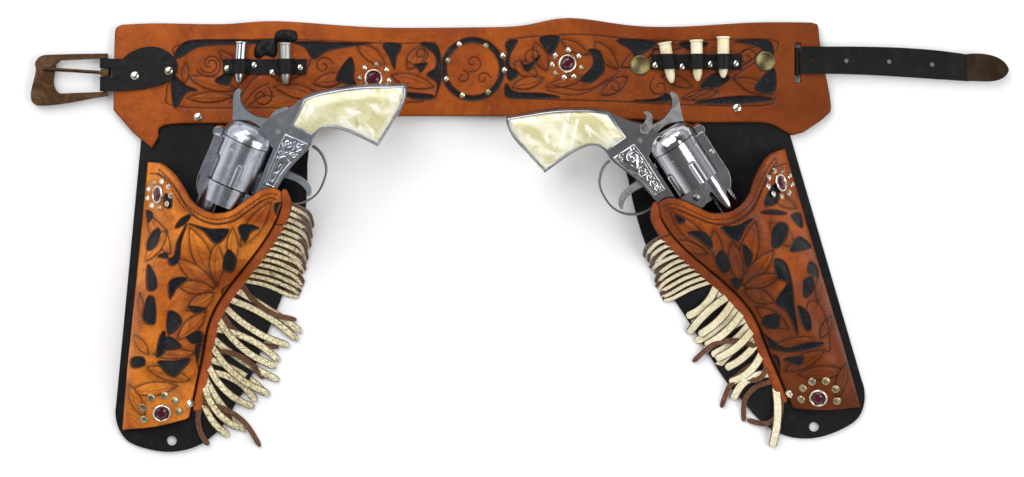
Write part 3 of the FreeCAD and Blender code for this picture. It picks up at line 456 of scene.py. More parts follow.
def tube(path, radius, sides=8, closed=False):
    """A round tube along 3-D points; returns vertices and faces."""
    path = np.asarray(path, float)
    n = len(path)
    ahead = np.roll(path, -1, 0) - np.roll(path, 1, 0)
    if not closed:
        ahead[0], ahead[-1] = path[1] - path[0], path[-1] - path[-2]
    verts = []
    for p, t in zip(path, ahead):
        t = t / np.linalg.norm(t)
        helper = np.array([0, 0, 1.0]) if abs(t[2]) < 0.9 else np.array([1.0, 0, 0])
        a = np.cross(t, helper)
        a /= np.linalg.norm(a)
        b = np.cross(t, a)
        for k in range(sides):
            w = 2 * math.pi * k / sides
            verts.append(p + radius * (math.cos(w) * a + math.sin(w) * b))
    return verts, rings(n, sides, closed) + ([] if closed else caps(n, sides))


def spun(profile, sides, twist=0.0):
    """A turned shape about +Z from (radius, height) points, the last one on the axis."""
    verts = []
    for r, z in profile[:-1]:
        for k in range(sides):
            w = 2 * math.pi * (k + twist) / sides
            verts.append((r * math.cos(w), r * math.sin(w), z))
    verts.append((0, 0, profile[-1][1]))
    rows = len(profile) - 1
    faces = rings(rows, sides)
    last = (rows - 1) * sides
    faces += [(last + k, last + (k + 1) % sides, len(verts) - 1) for k in range(sides)]
    faces.append(tuple(range(sides))[::-1])
    return verts, faces


def gather(pieces):
    """Several (vertices, faces) as one."""
    verts, faces, start = [], [], 0
    for v, f in pieces:
        verts += [tuple(p) for p in v]
        faces += [tuple(i + start for i in face) for face in f]
        start += len(v)
    return verts, faces


def seated(shape, at, up=(0, 0, 1), size=1.0):
    """A (vertices, faces) shape moved to a point, its +Z along up."""
    turn = Vector((0, 0, 1)).rotation_difference(Vector(up))
    verts = [tuple(turn @ (Vector(v) * size) + Vector(at)) for v in shape[0]]
    return verts, shape[1]


def softened(node, body, material, width):
    """A copy of a CAD node with its edges of more than 32 degrees rounded."""
    source = frame["nodes"][node]
    mesh = source.data.copy()
    mesh.name = f"{node}_soft"
    work = bmesh.new()
    work.from_mesh(mesh)
    bmesh.ops.remove_doubles(work, verts=work.verts, dist=2e-6)
    bmesh.ops.dissolve_limit(work, angle_limit=math.radians(1.0), verts=work.verts, edges=work.edges)
    work.to_mesh(mesh)
    work.free()
    mesh.materials.clear()
    mesh.materials.append(material)
    mesh.polygons.foreach_set("material_index", np.zeros(len(mesh.polygons), np.int32))
    if mesh.has_custom_normals:
        mesh.attributes.remove(mesh.attributes["custom_normal"])
    mesh.shade_smooth()
    obj = new_object(f"{node}_soft", mesh)
    bevel = obj.modifiers.new("round", "BEVEL")
    bevel.width = width * MM
    bevel.segments = 3
    bevel.limit_method = "ANGLE"
    bevel.angle_limit = math.radians(32)
    normals = obj.modifiers.new("normals", "WEIGHTED_NORMAL")
    normals.keep_sharp = False
    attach(obj, body)
    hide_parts(node)


# ---------------------------------------------------------------- materials

class Nodes:
    """Short calls for the nodes in front of a shader."""

    def __init__(self, tree, coordinates):
        self.tree = tree
        self.place = tree.nodes.new("ShaderNodeTexCoord").outputs[coordinates]

    def link(self, a, b):
        self.tree.links.new(a, b)

    def noise(self, scale, detail=4.0, rough=0.55, warp=0.0):
        node = self.tree.nodes.new("ShaderNodeTexNoise")
        node.inputs["Scale"].default_value = scale
        node.inputs["Detail"].default_value = detail
        node.inputs["Roughness"].default_value = rough
        node.inputs["Distortion"].default_value = warp
        self.link(self.place, node.inputs["Vector"])
        return node.outputs["Fac"]

    def cells(self, scale):
        node = self.tree.nodes.new("ShaderNodeTexVoronoi")
        node.feature = "DISTANCE_TO_EDGE"
        node.inputs["Scale"].default_value = scale
        self.link(self.place, node.inputs["Vector"])
        return node.outputs["Distance"]

    def along(self, axis):
        node = self.tree.nodes.new("ShaderNodeSeparateXYZ")
        self.link(self.place, node.inputs[0])
        return node.outputs[axis]

    def mark(self, name):
        node = self.tree.nodes.new("ShaderNodeAttribute")
        node.attribute_name = name
        return node.outputs["Fac"]

    def span(self, value, low, high, first=0.0, last=1.0):
        node = self.tree.nodes.new("ShaderNodeMapRange")
        for label, number in (("From Min", low), ("From Max", high), ("To Min", first), ("To Max", last)):
            node.inputs[label].default_value = number
        self.link(value, node.inputs["Value"])
        return node.outputs["Result"]

    def times(self, a, b):
        node = self.tree.nodes.new("ShaderNodeMath")
        node.operation = "MULTIPLY"
        self.link(a, node.inputs[0])
        if isinstance(b, float):
            node.inputs[1].default_value = b
        else:
            self.link(b, node.inputs[1])
        return node.outputs[0]

    def mix(self, share, a, b):
        """Colours a and b mixed by share; each is a colour or a socket."""
        node = self.tree.nodes.new("ShaderNodeMix")
        node.data_type = "RGBA"
        for socket, value in ((node.inputs[6], a), (node.inputs[7], b)):
            if isinstance(value, tuple):
                socket.default_value = (*value, 1)
            else:
                self.link(value, socket)
        self.link(share, node.inputs[0])
        return node.outputs[2]


class Shader(Nodes):
    """A Principled material and the nodes in front of it."""

    def __init__(self, name, color, rough, metal=0.0, **sockets):
        self.material = bpy.data.materials.new(name)
        self.material.use_nodes = True
        super().__init__(self.material.node_tree, "Object")
        self.main = self.tree.nodes["Principled BSDF"]
        self.main.inputs["Base Color"].default_value = (*color, 1)
        self.main.inputs["Roughness"].default_value = rough
        self.main.inputs["Metallic"].default_value = metal
        for label, value in sockets.items():
            self.main.inputs[label.replace("_", " ")].default_value = value

    def color(self, socket):
        self.link(socket, self.main.inputs["Base Color"])

    def rough(self, socket):
        self.link(socket, self.main.inputs["Roughness"])

    def bump(self, *layers):
        """Bump layers: (socket, strength, distance in mm)."""
        before = None
        for socket, strength, distance in layers:
            node = self.tree.nodes.new("ShaderNodeBump")
            node.inputs["Strength"].default_value = strength
            node.inputs["Distance"].default_value = distance * MM
            self.link(socket, node.inputs["Height"])
            if before is not None:
                self.link(before, node.inputs["Normal"])
            before = node.outputs["Normal"]
        self.link(before, self.main.inputs["Normal"])


def dim(color, share):
    return tuple(c * share for c in color)


def tooled_leather(name, pale, deep, shade=None):
    """Oiled leather; shade is (axis, start, end) in metres of an end darkened by darker leather and painted
    shade.
    """
    s = Shader(name, pale, 0.42, Coat_Weight=0.03, Coat_Roughness=0.3, Specular_IOR_Level=0.13)
    body = s.mix(s.span(s.noise(24, 6, 0.65, 0.6), 0.38, 0.62), pale, deep)
    body = s.mix(s.span(s.noise(75, 5, 0.7, 1.0), 0.50, 0.72, 0, 0.55), body, dim(deep, 0.55))
    body = s.mix(s.span(s.noise(260, 3), 0.55, 0.8, 0, 0.5), body, dim(deep, 0.45))
    nick = tuple(min(1, c * 1.5 + 0.06) for c in pale)
    body = s.mix(s.span(s.noise(480, 2), 0.68, 0.74, 0, 0.5), body, nick)
    # Painted shade: the shade span darkens one end for the light falling off there, together with darker
    # leather.
    if shade:
        axis, start, end = shade
        body = s.mix(s.span(s.along(axis), start, end, 0, 0.75), body, dim(deep, 0.45))
    body = s.mix(s.span(s.mark("dark"), 0, 0.85, 0, 0.92), body, (0.024, 0.007, 0.003))
    body = s.mix(s.span(s.mark("edge"), 0.2, 1, 0, 0.7), body, (0.05, 0.018, 0.008))
    worn = s.span(s.noise(520, 2), 0.60, 0.75)
    black = s.mix(s.times(worn, 0.5), (0.008, 0.0086, 0.011), (0.06, 0.06, 0.065))
    s.color(s.mix(s.mark("dye"), body, black))
    s.rough(s.span(s.noise(90, 4), 0.3, 0.7, 0.32, 0.52))
    s.bump((s.cells(900), 0.3, 0.14), (s.noise(1600, 3), 0.25, 0.12), (s.noise(120, 4), 0.35, 0.3))
    return s.material


def black_leather(name, cracks):
    ink = (0.004, 0.004, 0.005)
    s = Shader(name, ink, 0.42, Coat_Weight=0.02, Coat_Roughness=0.3, Specular_IOR_Level=0.17)
    s.color(s.mix(s.span(s.noise(140, 5), 0.52, 0.78, 0, 0.5), ink, (0.022, 0.021, 0.020)))
    s.rough(s.span(s.noise(60, 4), 0.3, 0.7, 0.34, 0.55))
    s.bump((s.cells(620), 0.35, 0.16), (s.noise(900, 4), 0.3, 0.12), (s.cells(150), cracks, 0.3))
    return s.material


def suede(name, pale, deep, cracked=0.85):
    s = Shader(name, pale, 0.85, Sheen_Weight=0.3, Sheen_Roughness=0.5)
    body = s.mix(s.span(s.noise(60, 4), 0.35, 0.7), pale, deep)
    fleck = s.span(s.noise(420, 4, 0.7), 0.57, 0.64)
    crack = s.span(s.cells(300), 0.10, 0.0)
    body = s.mix(s.times(crack, cracked), body, dim(deep, 0.3))
    s.color(s.mix(s.times(fleck, 0.9 * cracked), body, (0.13, 0.065, 0.025)))
    s.bump((s.noise(1500, 4), 0.5, 0.15), (s.cells(330), 0.4, 0.2))
    return s.material


def metal(name, pale, deep, rough, grain=0.12, blotch=40):
    s = Shader(name, pale, rough, 1.0)
    body = s.mix(s.span(s.noise(blotch, 6, 0.65, 0.6), 0.45, 0.72), pale, deep)
    s.color(s.mix(s.span(s.mark("dark"), 0.15, 0.9, 0, 0.85), body, dim(deep, 0.16)))
    s.rough(s.span(s.noise(130, 5, 0.7), 0.3, 0.75, rough * 0.85, min(1, rough * 1.35)))
    s.bump((s.noise(700, 4), grain, 0.06), (s.noise(70, 4), grain, 0.3))
    return s.material


def pearl():
    s = Shader("pearl", (0.84, 0.82, 0.62), 0.2, Coat_Weight=0.5, Coat_Roughness=0.08,
               Subsurface_Weight=0.08, Subsurface_Scale=0.003)
    body = s.mix(s.span(s.noise(17, 3, 0.5, 5.0), 0.38, 0.62), (0.86, 0.83, 0.64), (0.60, 0.56, 0.30))
    sheen = s.span(s.noise(25, 2, 0.5, 6.0), 0.52, 0.64)
    body = s.mix(s.times(sheen, 0.8), body, (0.95, 0.94, 0.84))
    vein = s.span(s.noise(30, 4, 0.6, 5.0), 0.60, 0.70)
    s.color(s.mix(s.times(vein, 0.6), body, (0.36, 0.31, 0.13)))
    s.bump((s.noise(80, 3, 0.5, 2.0), 0.12, 0.25),)
    return s.material


def aged_plastic():
    s = Shader("cream_plastic", (0.82, 0.77, 0.56), 0.3, Coat_Weight=0.2,
               Subsurface_Weight=0.1, Subsurface_Scale=0.002)
    body = s.mix(s.span(s.noise(90, 4), 0.40, 0.66), (0.82, 0.78, 0.58), (0.70, 0.60, 0.34))
    stain = s.span(s.noise(240, 4, 0.65, 1.5), 0.58, 0.72, 0, 0.6)
    s.color(s.mix(stain, body, (0.36, 0.24, 0.10)))
    return s.material


def garnet():
    return Shader("garnet", (0.065, 0.002, 0.010), 0.08, Coat_Weight=0.25, Coat_Roughness=0.03,
                  IOR=1.5, Specular_IOR_Level=0.35).material


# The belt's darker right end and the right pocket's darker colour and lower end are darker leather plus
# painted shade.
LEATHER_BELT = tooled_leather("leather_belt", (0.38, 0.082, 0.007), (0.24, 0.045, 0.005), (0, -0.05, 0.18))
FRONT = {
    "left": tooled_leather("leather_left", (0.76, 0.235, 0.024), (0.33, 0.066, 0.008)),
    "right": tooled_leather("leather_right", (0.37, 0.080, 0.009), (0.17, 0.032, 0.005), (1, 0.01, -0.10)),
}
WELT = {"left": tooled_leather("welt_left", (0.46, 0.11, 0.018), (0.28, 0.056, 0.010)),
        "right": tooled_leather("welt_right", (0.33, 0.074, 0.014), (0.20, 0.038, 0.009))}
BLACK = black_leather("black_leather", 0.1)
BLACK_WORN = black_leather("black_leather_worn", 0.9)
CREAM = {"left": suede("cream_suede", (0.82, 0.75, 0.48), (0.62, 0.53, 0.29)),
         "right": suede("clean_suede", (0.86, 0.80, 0.58), (0.70, 0.61, 0.36), 0.3)}
BROWN = suede("brown_suede", (0.15, 0.052, 0.014), (0.07, 0.024, 0.008))
THREAD = Shader("thread", (0.022, 0.009, 0.005), 0.7).material
NICKEL = metal("nickel", (0.78, 0.73, 0.62), (0.40, 0.34, 0.22), 0.15)
ANTIQUE = metal("antique_nickel", (0.42, 0.36, 0.21), (0.20, 0.16, 0.08), 0.3, 0.4, 120)
TARNISHED = metal("tarnished_disc", (0.19, 0.155, 0.070), (0.10, 0.085, 0.040), 0.35, 0.4, 160)
BRIGHT = metal("bright_nickel", (0.53, 0.53, 0.55), (0.38, 0.37, 0.38), 0.12)
SATIN = metal("satin_nickel", (0.50, 0.52, 0.57), (0.38, 0.40, 0.44), 0.22, 0.2, 60)
STEEL = {"left": metal("hammer_steel", (0.30, 0.35, 0.38), (0.20, 0.22, 0.23), 0.42),
         "right": metal("cast_steel", (0.34, 0.34, 0.34), (0.13, 0.12, 0.11), 0.32, 0.5, 200)}
GUARD = metal("gunmetal", (0.20, 0.20, 0.21), (0.12, 0.12, 0.12), 0.3)
BRONZE = metal("bronze", (0.060, 0.030, 0.015), (0.15, 0.092, 0.052), 0.42, 0.4, 90)
TIP = metal("dark_bronze", (0.032, 0.020, 0.012), (0.065, 0.044, 0.028), 0.42, 0.4, 90)
PEWTER = metal("pewter", (0.46, 0.47, 0.43), (0.28, 0.29, 0.25), 0.4, 0.5)
IVORY = aged_plastic()
PEARL = pearl()
GARNET = garnet()
SHELL = {"left": SATIN, "right": BRIGHT}
PLAIN = {"cuts": [], "petals": [], "patches": []}


# ---------------------------------------------------------------- the belt

def belt_loop():
    runs = [
        [(-246.5, 128.6), (-225, 129.5), (-185, 129), (-150, 130.8), (-90, 127), (-30, 127), (0, 128),
         (30, 132.8), (70, 128), (100, 127.5), (145, 130), (180, 130)],
        [(183.5, 129), (184.4, 126), (186, 112), (192, 80), (189, 72), (175, 62)], [(168, 60)],
        [(157, 66), (147, 68), (110, 68), (70, 70), (30, 71), (-10, 72), (-75, 72), (-95, 71.5), (-112, 70),
         (-132, 62), (-150, 66), (-216, 67), (-224, 59)],
        [(-228, 52)], [(-240, 62), (-252, 76)], [(-251.5, 108), (-251, 124), (-249.5, 127.4)]]
    return np.concatenate([smooth_line(run) if len(run) > 2 else np.array(run, float) for run in runs])


def belt_panel():
    loop = belt_loop()
    slot = np.array([(169.8, 93), (173.2, 93), (173.2, 117), (169.8, 117)], float)

    def lift(plan, relief):
        return np.column_stack([plan, BELT_TOP + relief])

    under = at_height(BACK_TOP)
    shape, marks = sheet_mesh(*grid(loop, BELT_STEP), loop, [slot], lift, under, BELT_ART)
    mesh_object("belt_panel_tooled", shape, [LEATHER_BELT], "belt", "belt_panel",
                marks=marks)


NAILHEAD = [(1.0, 0.0), (1.0, 0.10), (0.88, 0.22), (0.66, 0.46), (0.36, 0.62), (0.0, 0.66)]
ROUND_HEAD = [(1.0, 0.0), (0.98, 0.12), (0.86, 0.26), (0.62, 0.37), (0.32, 0.42), (0.0, 0.44)]
COIN = [(1.0, 0.0), (1.0, 0.10), (0.95, 0.15), (0.82, 0.15), (0.78, 0.12), (0.0, 0.12)]
GEM = [(0.98, 0.0), (0.98, 0.12), (0.74, 0.36), (0.44, 0.50), (0.0, 0.50)]


def circle_points(centre, radius, count, first):
    for i in range(count):
        angle = math.radians(first + 360 * i / count)
        yield centre[0] + radius * math.cos(angle), centre[1] + radius * math.sin(angle)


def finishes(shapes, dull):
    """Material numbers for the faces of gathered shapes: 1 where dull says so for the shape's number."""
    return [int(dull(k)) for k, shape in enumerate(shapes) for _ in shape[1]]


def bezel_shape():
    """A turned bezel with a beaded rim."""
    wall = [(5.8, 0), (5.8, 0.9), (5.4, 1.6), (4.7, 1.7), (4.35, 1.1), (4.35, 0.3)]
    verts, faces = spun(wall + [(0, 0.3)], 28)
    beads = [seated(spun([(r * 0.42, z * 0.6) for r, z in ROUND_HEAD], 8), (x, y, 1.45))
             for x, y in circle_points((0, 0), 5.1, 24, 0)]
    return gather([(verts, faces)] + beads)


BELT_SPOTS = [
    (-38, 116.5), (-21.5, 115.5), (-11, 109.5), (-10, 100.5), (-20, 87), (-36, 85), (-46, 95), (-45, 106.5),
    (29.5, 112.8), (36, 109), (37.5, 102), (33, 96.5), (27, 96), (21.5, 98.5), (19.5, 103.8), (21.5, 109.5),
    (-89, 104), (-83, 100.5), (-81.5, 94), (-84, 89), (-91, 86.8), (-97, 89), (-99.5, 95.5), (-96.5, 101.8)]


def belt_trim():
    top = BELT_TOP
    spots = [seated(spun(NAILHEAD, 8, 0.5), (x, y, top - SEAT), size=SPOT) for x, y in BELT_SPOTS]
    mesh_object("belt_nailheads", gather(spots), [NICKEL, ANTIQUE], "belt", "belt_spots",
                finishes(spots, lambda k: k % 3 == 1), flat=True)
    rosettes = [(29, 104.5), (-91, 95.5)]
    bezels = [seated(bezel_shape(), (*c, top - SEAT)) for c in rosettes]
    mesh_object("belt_bezels", gather(bezels), [NICKEL], "belt", "belt_jewel_bezels")
    gems = [seated(spun(GEM, 10), (*c, top + 0.2), size=JEWEL) for c in rosettes]
    mesh_object("belt_gems", gather(gems), [GARNET], "belt", "belt_jewels", flat=True)
    discs = [seated(spun(COIN, 36), (x, y, top - SEAT), size=DISC) for x, y in [(74, 103.5), (151.5, 106)]]
    mesh_object("anchor_discs", gather(discs), [TARNISHED], "belt", "billet_anchor_discs")
    loop_rivets = [(-181.4, 101.5), (-165, 103.5), (-153.5, 99), (-136.5, 102),
                   (83.5, 103.5), (99.8, 102.5), (117.3, 104), (133, 104.5)]
    rivets = [(x, y, top - SEAT, RIVET) for x, y in [(-199.5, 71.5), (134, 77)]]
    rivets += [(x, y, top + 2.0, LARGE_SPOT) for x, y in [(-238.5, 97), (-217.5, 100)]]
    rivets += [(x, y, top + 1.2, LOOP_RIVET) for x, y in loop_rivets]
    heads = [seated(spun(ROUND_HEAD, 20), (x, y, z), size=size) for x, y, z, size in rivets]
    mesh_object("belt_rivet_heads", gather(heads), [NICKEL], "belt", "belt_rivets")


# Each torn end's outline and how far its top swells.
TORN = [
    ([(-165, 110), (-163, 117), (-158, 119.6), (-152, 119), (-150.5, 113), (-152.6, 108.4), (-158, 109.6),
      (-162, 107.6)], 1.5),
    ([(-152, 119), (-151, 124), (-146, 125.6), (-139, 124.4), (-138.4, 119.4), (-142, 117.8),
      (-147, 119)], 1.9),
]


def torn_leather():
    """Two torn ends of old loop leather behind the left loops."""
    for number, (points, high) in enumerate(TORN):
        loop = smooth_line(points, True)

        def lift(plan, _):
            d = nearest(plan, loop, True)[0]
            wave = 0.4 * np.sin(plan[:, 0] * 0.9 + number) * np.cos(plan[:, 1] * 0.7)
            return np.column_stack([plan, BELT_TOP + 0.7 + (high + wave) * (1 - np.exp(-d / 1.2))])

        under = at_height(BELT_TOP - 0.6)
        shape, _ = sheet_mesh(*grid(loop, FINE_STEP), loop, [], lift, under, PLAIN, 0.0)
        mesh_object(f"torn_leather_{number + 1}", shape, [BLACK_WORN], "belt")


def belt_fittings():
    for node, body, material, slot, width in [
            ("buckle_strap", "belt", BLACK_WORN, "black_leather", 0.45),
            ("billet_anchor_strap", "belt", BLACK, "billet_leather", 0.4),
            ("billet_strap", "billet", BLACK, "billet_leather", 0.45),
            ("billet_tip", "billet", TIP, "bronze", 0.7),
            ("buckle_frame", "buckle_frame", BRONZE, "bronze", 0.7),
            ("buckle_prong", "buckle_prong", BRONZE, "bronze", 0.25),
            ("left_bullet_loops", "belt", BLACK_WORN, "black_leather", 0.3),
            ("right_bullet_loops", "belt", BLACK, "black_leather", 0.3)]:
        softened(node, body, material, width)
    looks = {1: (BRIGHT, "bullet_silver"), 2: (PEWTER, "bullet_pewter")}
    for number in range(1, 6):
        material, slot = looks.get(number, (IVORY, "bullet_cream"))
        softened(f"bullet_{number}", f"bullet_{number}", material, 0.35)


# ---------------------------------------------------------------- the pockets

def seam(y):
    """x of the seam along the pocket's inner side."""
    return 48 + 5.5 * ramp(y, 0, 70) + 40.5 * ramp(y, 62, 150)


def front_edge(y):
    """x where the tooled front meets the welt."""
    slope = (seam(y + 1) - seam(y - 1)) / 2
    return seam(y) - WELT_WIDE * np.sqrt(1 + slope ** 2)


def lip(y):
    """Height of the seam, which rises towards the mouth."""
    return BACK_TOP + (LIP_HIGH - BACK_TOP) * ramp(y, 98, 144)


def leather_height(x, y):
    """Height of the front's upper face at plan points of a pocket's frame."""
    u = np.clip(x / front_edge(y), 0, 1)
    roof = ROOF_LOW + ROOF_RISE * y - 9 * (1 - np.clip(y / 45, 0, 1)) ** 2 + LEATHER
    gentle = np.clip((y - 40) / 100, 0, 1)
    wave = np.clip(np.sin(np.pi * u ** (0.7 + 0.3 * gentle)), 0, 1)
    bulge = wave ** (0.45 + 0.5 * gentle + 0.4 * u)
    edge = BACK_TOP + (lip(y) + LEATHER - BACK_TOP) * ramp(u, 0, 0.8)
    return edge + (roof - edge) * bulge


def surface(x, y):
    """Points of the front's upper face and their normals."""
    x, y = np.atleast_1d(np.asarray(x, float)), np.atleast_1d(np.asarray(y, float))
    z = leather_height(x, y)
    step = 0.25
    back = np.minimum(x, step)
    dx = (leather_height(x + step, y) - leather_height(np.maximum(x - step, 0), y)) / (step + back)
    dy = (leather_height(x, y + step) - leather_height(x, y - step)) / (2 * step)
    return np.column_stack([x, y, z]), unit(np.column_stack([-dx, -dy, np.ones(len(x))]))


MOUTH = [(0, 167), (9, 166.5), (18, 161), (25, 154), (31, 146.5), (38, 141.5), (47, 139), (57, 141.5),
         (63, 146.5), (74, 155.5), (82, 158), (89, 155)]


def to_world(side, points):
    """Points of a pocket's frame as world points."""
    spec = POCKETS[side]
    points = np.atleast_2d(np.asarray(points, float)).copy()
    points[:, 0] *= spec["hand"]
    a = math.radians(spec["turn"])
    x = points[:, 0] * math.cos(a) - points[:, 1] * math.sin(a) + spec["at"][0]
    y = points[:, 0] * math.sin(a) + points[:, 1] * math.cos(a) + spec["at"][1]
    return np.column_stack([x, y, points[:, 2]])


def pocket_front(side):
    mouth = smooth_line(MOUTH, per=8)
    up = np.arange(12, 147, 3.0)
    inner = np.column_stack([front_edge(up), up])[::-1]
    toe = smooth_line([(39.5, 10.5), (20, 4), (0, 0.2)])
    loop = np.concatenate([mouth, inner, toe])
    fold = np.array([0, 0.03, 0.12, 0.28, 0.5, 0.8, 1.15, 1.55])
    xs = np.concatenate([fold, np.arange(2.0, 96, FINE_STEP)])
    ys = np.arange(-1, 168.5, FINE_STEP)

    def lift(plan, high):
        at, normal = surface(plan[:, 0], plan[:, 1])
        return to_world(side, at + normal * high[:, None])

    def under(plan):
        at, normal = surface(plan[:, 0], plan[:, 1])
        low = at - normal * LEATHER
        low[:, 2] = np.maximum(low[:, 2], BACK_TOP)
        return to_world(side, low)

    mirrored = POCKETS[side]["hand"] < 0
    shape, marks = sheet_mesh(xs, ys, loop, [], lift, under, POCKET_ART[side], 0.5, mirrored)
    mesh_object(f"{side}_front_tooled", shape, [FRONT[side]], "belt",
                f"{side}_holster_pocket", marks=marks)


def stitches(side):
    """Two rows of thread along the mouth."""
    pieces = []
    mouth = smooth_line(MOUTH, per=12)
    ahead = unit(np.gradient(mouth, axis=0))
    inward = np.column_stack([ahead[:, 1], -ahead[:, 0]])
    for away in (3.4, 6.0):
        row = mouth + inward * away
        row = row[(row[:, 0] > 8) & (row[:, 0] < front_edge(row[:, 1]) - 2)]
        along = np.concatenate([[0], np.cumsum(np.linalg.norm(np.diff(row, axis=0), axis=1))])
        for start in np.arange(0, along[-1] - 2.4, 2.9):
            at = np.linspace(start, start + 2.3, 5)
            x, y = np.interp(at, along, row[:, 0]), np.interp(at, along, row[:, 1])
            base, normal = surface(x, y)
            arch = np.array([-0.12, 0.16, 0.24, 0.16, -0.12])[:, None]
            pieces.append(tube(to_world(side, base + normal * arch), 0.3, 6))
    mesh_object(f"{side}_mouth_stitches", gather(pieces), [THREAD], "belt")


def welt(side):
    """A smooth strip with rounded edges along the seam, folded over the mouth's tip in a rounded tab."""
    crease = WELT_CREASE + np.array([-0.8, -0.3, 0, 0.3, 0.8])
    tab = WELT_END + WELT_TAB * np.sin(np.linspace(0, math.pi / 2, 9))
    rows = np.concatenate([np.arange(16, 134, 1.5), crease, np.arange(138, 149, 1.2), tab])
    across = np.linspace(0, 1, 9)
    crown = 1.9 * np.sqrt(np.clip(1 - (2 * across - 1) ** 4, 0, 1))
    verts, dark = [], []
    for i, y in enumerate(rows):
        bend = max(0.0, (y - WELT_END) / WELT_TAB)
        level = min(y, WELT_END)
        inner, outer = front_edge(level) + 0.3, seam(level)
        middle = (inner + outer) / 2 - 2.2 * bend
        half = (outer - inner) / 2 * max(0.06, math.sqrt(max(0, 1 - bend ** 2)))
        half *= 0.6 if i == 0 else 1.0
        folded = ramp(y, 146, 151.5)
        low = lip(y) + (LEATHER + 0.1) * folded
        notch = 0.7 * math.exp(-((y - WELT_CREASE) / 0.4) ** 2)
        flat = 1 - 0.25 * folded
        for w, c in zip(across, crown):
            verts.append((middle + half * (2 * w - 1), y, low + max(0.2, c * flat - notch)))
            dark.append(max(0.9 * math.exp(-min(w, 1 - w) / 0.07), notch * 1.4, 0.8 * (bend > 0.97)))
        for w in across[::-1]:
            verts.append((middle + half * (2 * w - 1), y, low))
            dark.append(0.6)
    around = 2 * len(across)
    faces = rings(len(rows), around) + caps(len(rows), around)
    if POCKETS[side]["hand"] > 0:
        faces = [f[::-1] for f in faces]
    count = len(verts)
    marks = {"dye": np.zeros(count), "dark": dark, "edge": np.zeros(count)}
    mesh_object(f"{side}_welt_strip", (to_world(side, verts), faces), [WELT[side]], "belt",
                f"{side}_holster_welt", marks=marks)


def backing_edge(y):
    """x of the backing's inner edge."""
    return np.interp(y, [-5, 6, 22, 42, 64, 95, 125, 150], [48, 60, 68, 77, 83, 92, 99, 100.5])


# A thong's section as parts of its half width and its thickness; the third edge is its upper face.
RIBBON = [(-1, 0.2), (-1, 0.8), (-0.8, 1.0), (0.8, 1.0), (1, 0.8), (1, 0.2)]
THONG_THICK = 1.1


def ribbon(points, wide, roll):
    """A flat strip along 3-D points, rolled by an angle towards its end; its last value is the picks."""
    line = smooth_line(points, per=5)
    n = len(line)
    verts = []
    for i, (p, t) in enumerate(zip(line, unit(np.gradient(line, axis=0)))):
        side = np.cross(t, (0, 0, 1.0))
        side /= np.linalg.norm(side)
        up = np.cross(side, t)
        a = math.radians(roll) * (i / (n - 1)) ** 1.5
        side, up = math.cos(a) * side + math.sin(a) * up, math.cos(a) * up - math.sin(a) * side
        half = wide / 2 * (0.5 if i == n - 1 else 1.0)
        verts += [p + side * half * w + up * THONG_THICK * h for w, h in RIBBON]
    picks = [int(k != 2) for _ in range(n - 1) for k in range(len(RIBBON))]
    return verts, rings(n, len(RIBBON)) + caps(n, len(RIBBON)), picks + [1, 1]


# The short thongs in a pocket's frame: how far out and how high the first one is, how many there are, how
# far they fall, how far they lean, and then how wide the long cream thongs are.
SHORT_THONGS = {"left": (105.0, 147.5, 14, 12.5, 1.5, 4.4), "right": (100.5, 134.0, 10, 7.5, 0.6, 5.3)}
# The long thongs in a pocket's frame: height of the root on the seam, far end, bend to the side, brown face.
LONG_THONGS = {
    "left": [
        (97, (101, 78), 5, 1), (93, (105, 71), -1, 0), (87, (103, 66), -3, 0), (82, (98, 62), 3, 0),
        (78, (92, 60), 6, 1), (74, (91, 48), 4, 0), (68, (93, 52), -4, 0), (62, (94, 40), 2, 0),
        (57, (89, 31), 4, 0), (54, (84, 40), -6, 1), (49, (88, 30), -3, 0), (45, (80, 22), 4, 0),
        (41, (81, 26), -5, 0), (37, (76, 7), 2, 0), (33, (72, 8), 4, 0), (30, (69, 14), 5, 1),
        (26, (66, 3), 3, 0), (22, (86, -2), -7, 1), (19, (54, -4), 3, 1)],
    "right": [
        (97, (88, 84), 3, 0), (93, (86, 79), 2, 0), (89, (90, 74), -2, 0), (85, (84, 71), 2, 0),
        (81, (87, 68), 3, 0), (77, (82, 64), 2, 0), (73, (84, 60), -2, 0), (69, (80, 57), 2, 0),
        (65, (78, 54), 2, 0), (61, (79, 49), -2, 0), (57, (74, 47), 2, 0), (53, (92, 56), -9, 1),
        (49, (74, 38), 3, 0), (45, (83, 24), -6, 1), (41, (65, 38), 5, 1), (36, (75, 27), -5, 0),
        (31, (72, 12), -8, 1), (26, (60, -8), 2, 0), (21, (57, 2), 3, 1), (17, (70, 12), 8, 1)],
}
ROOT = 2.2


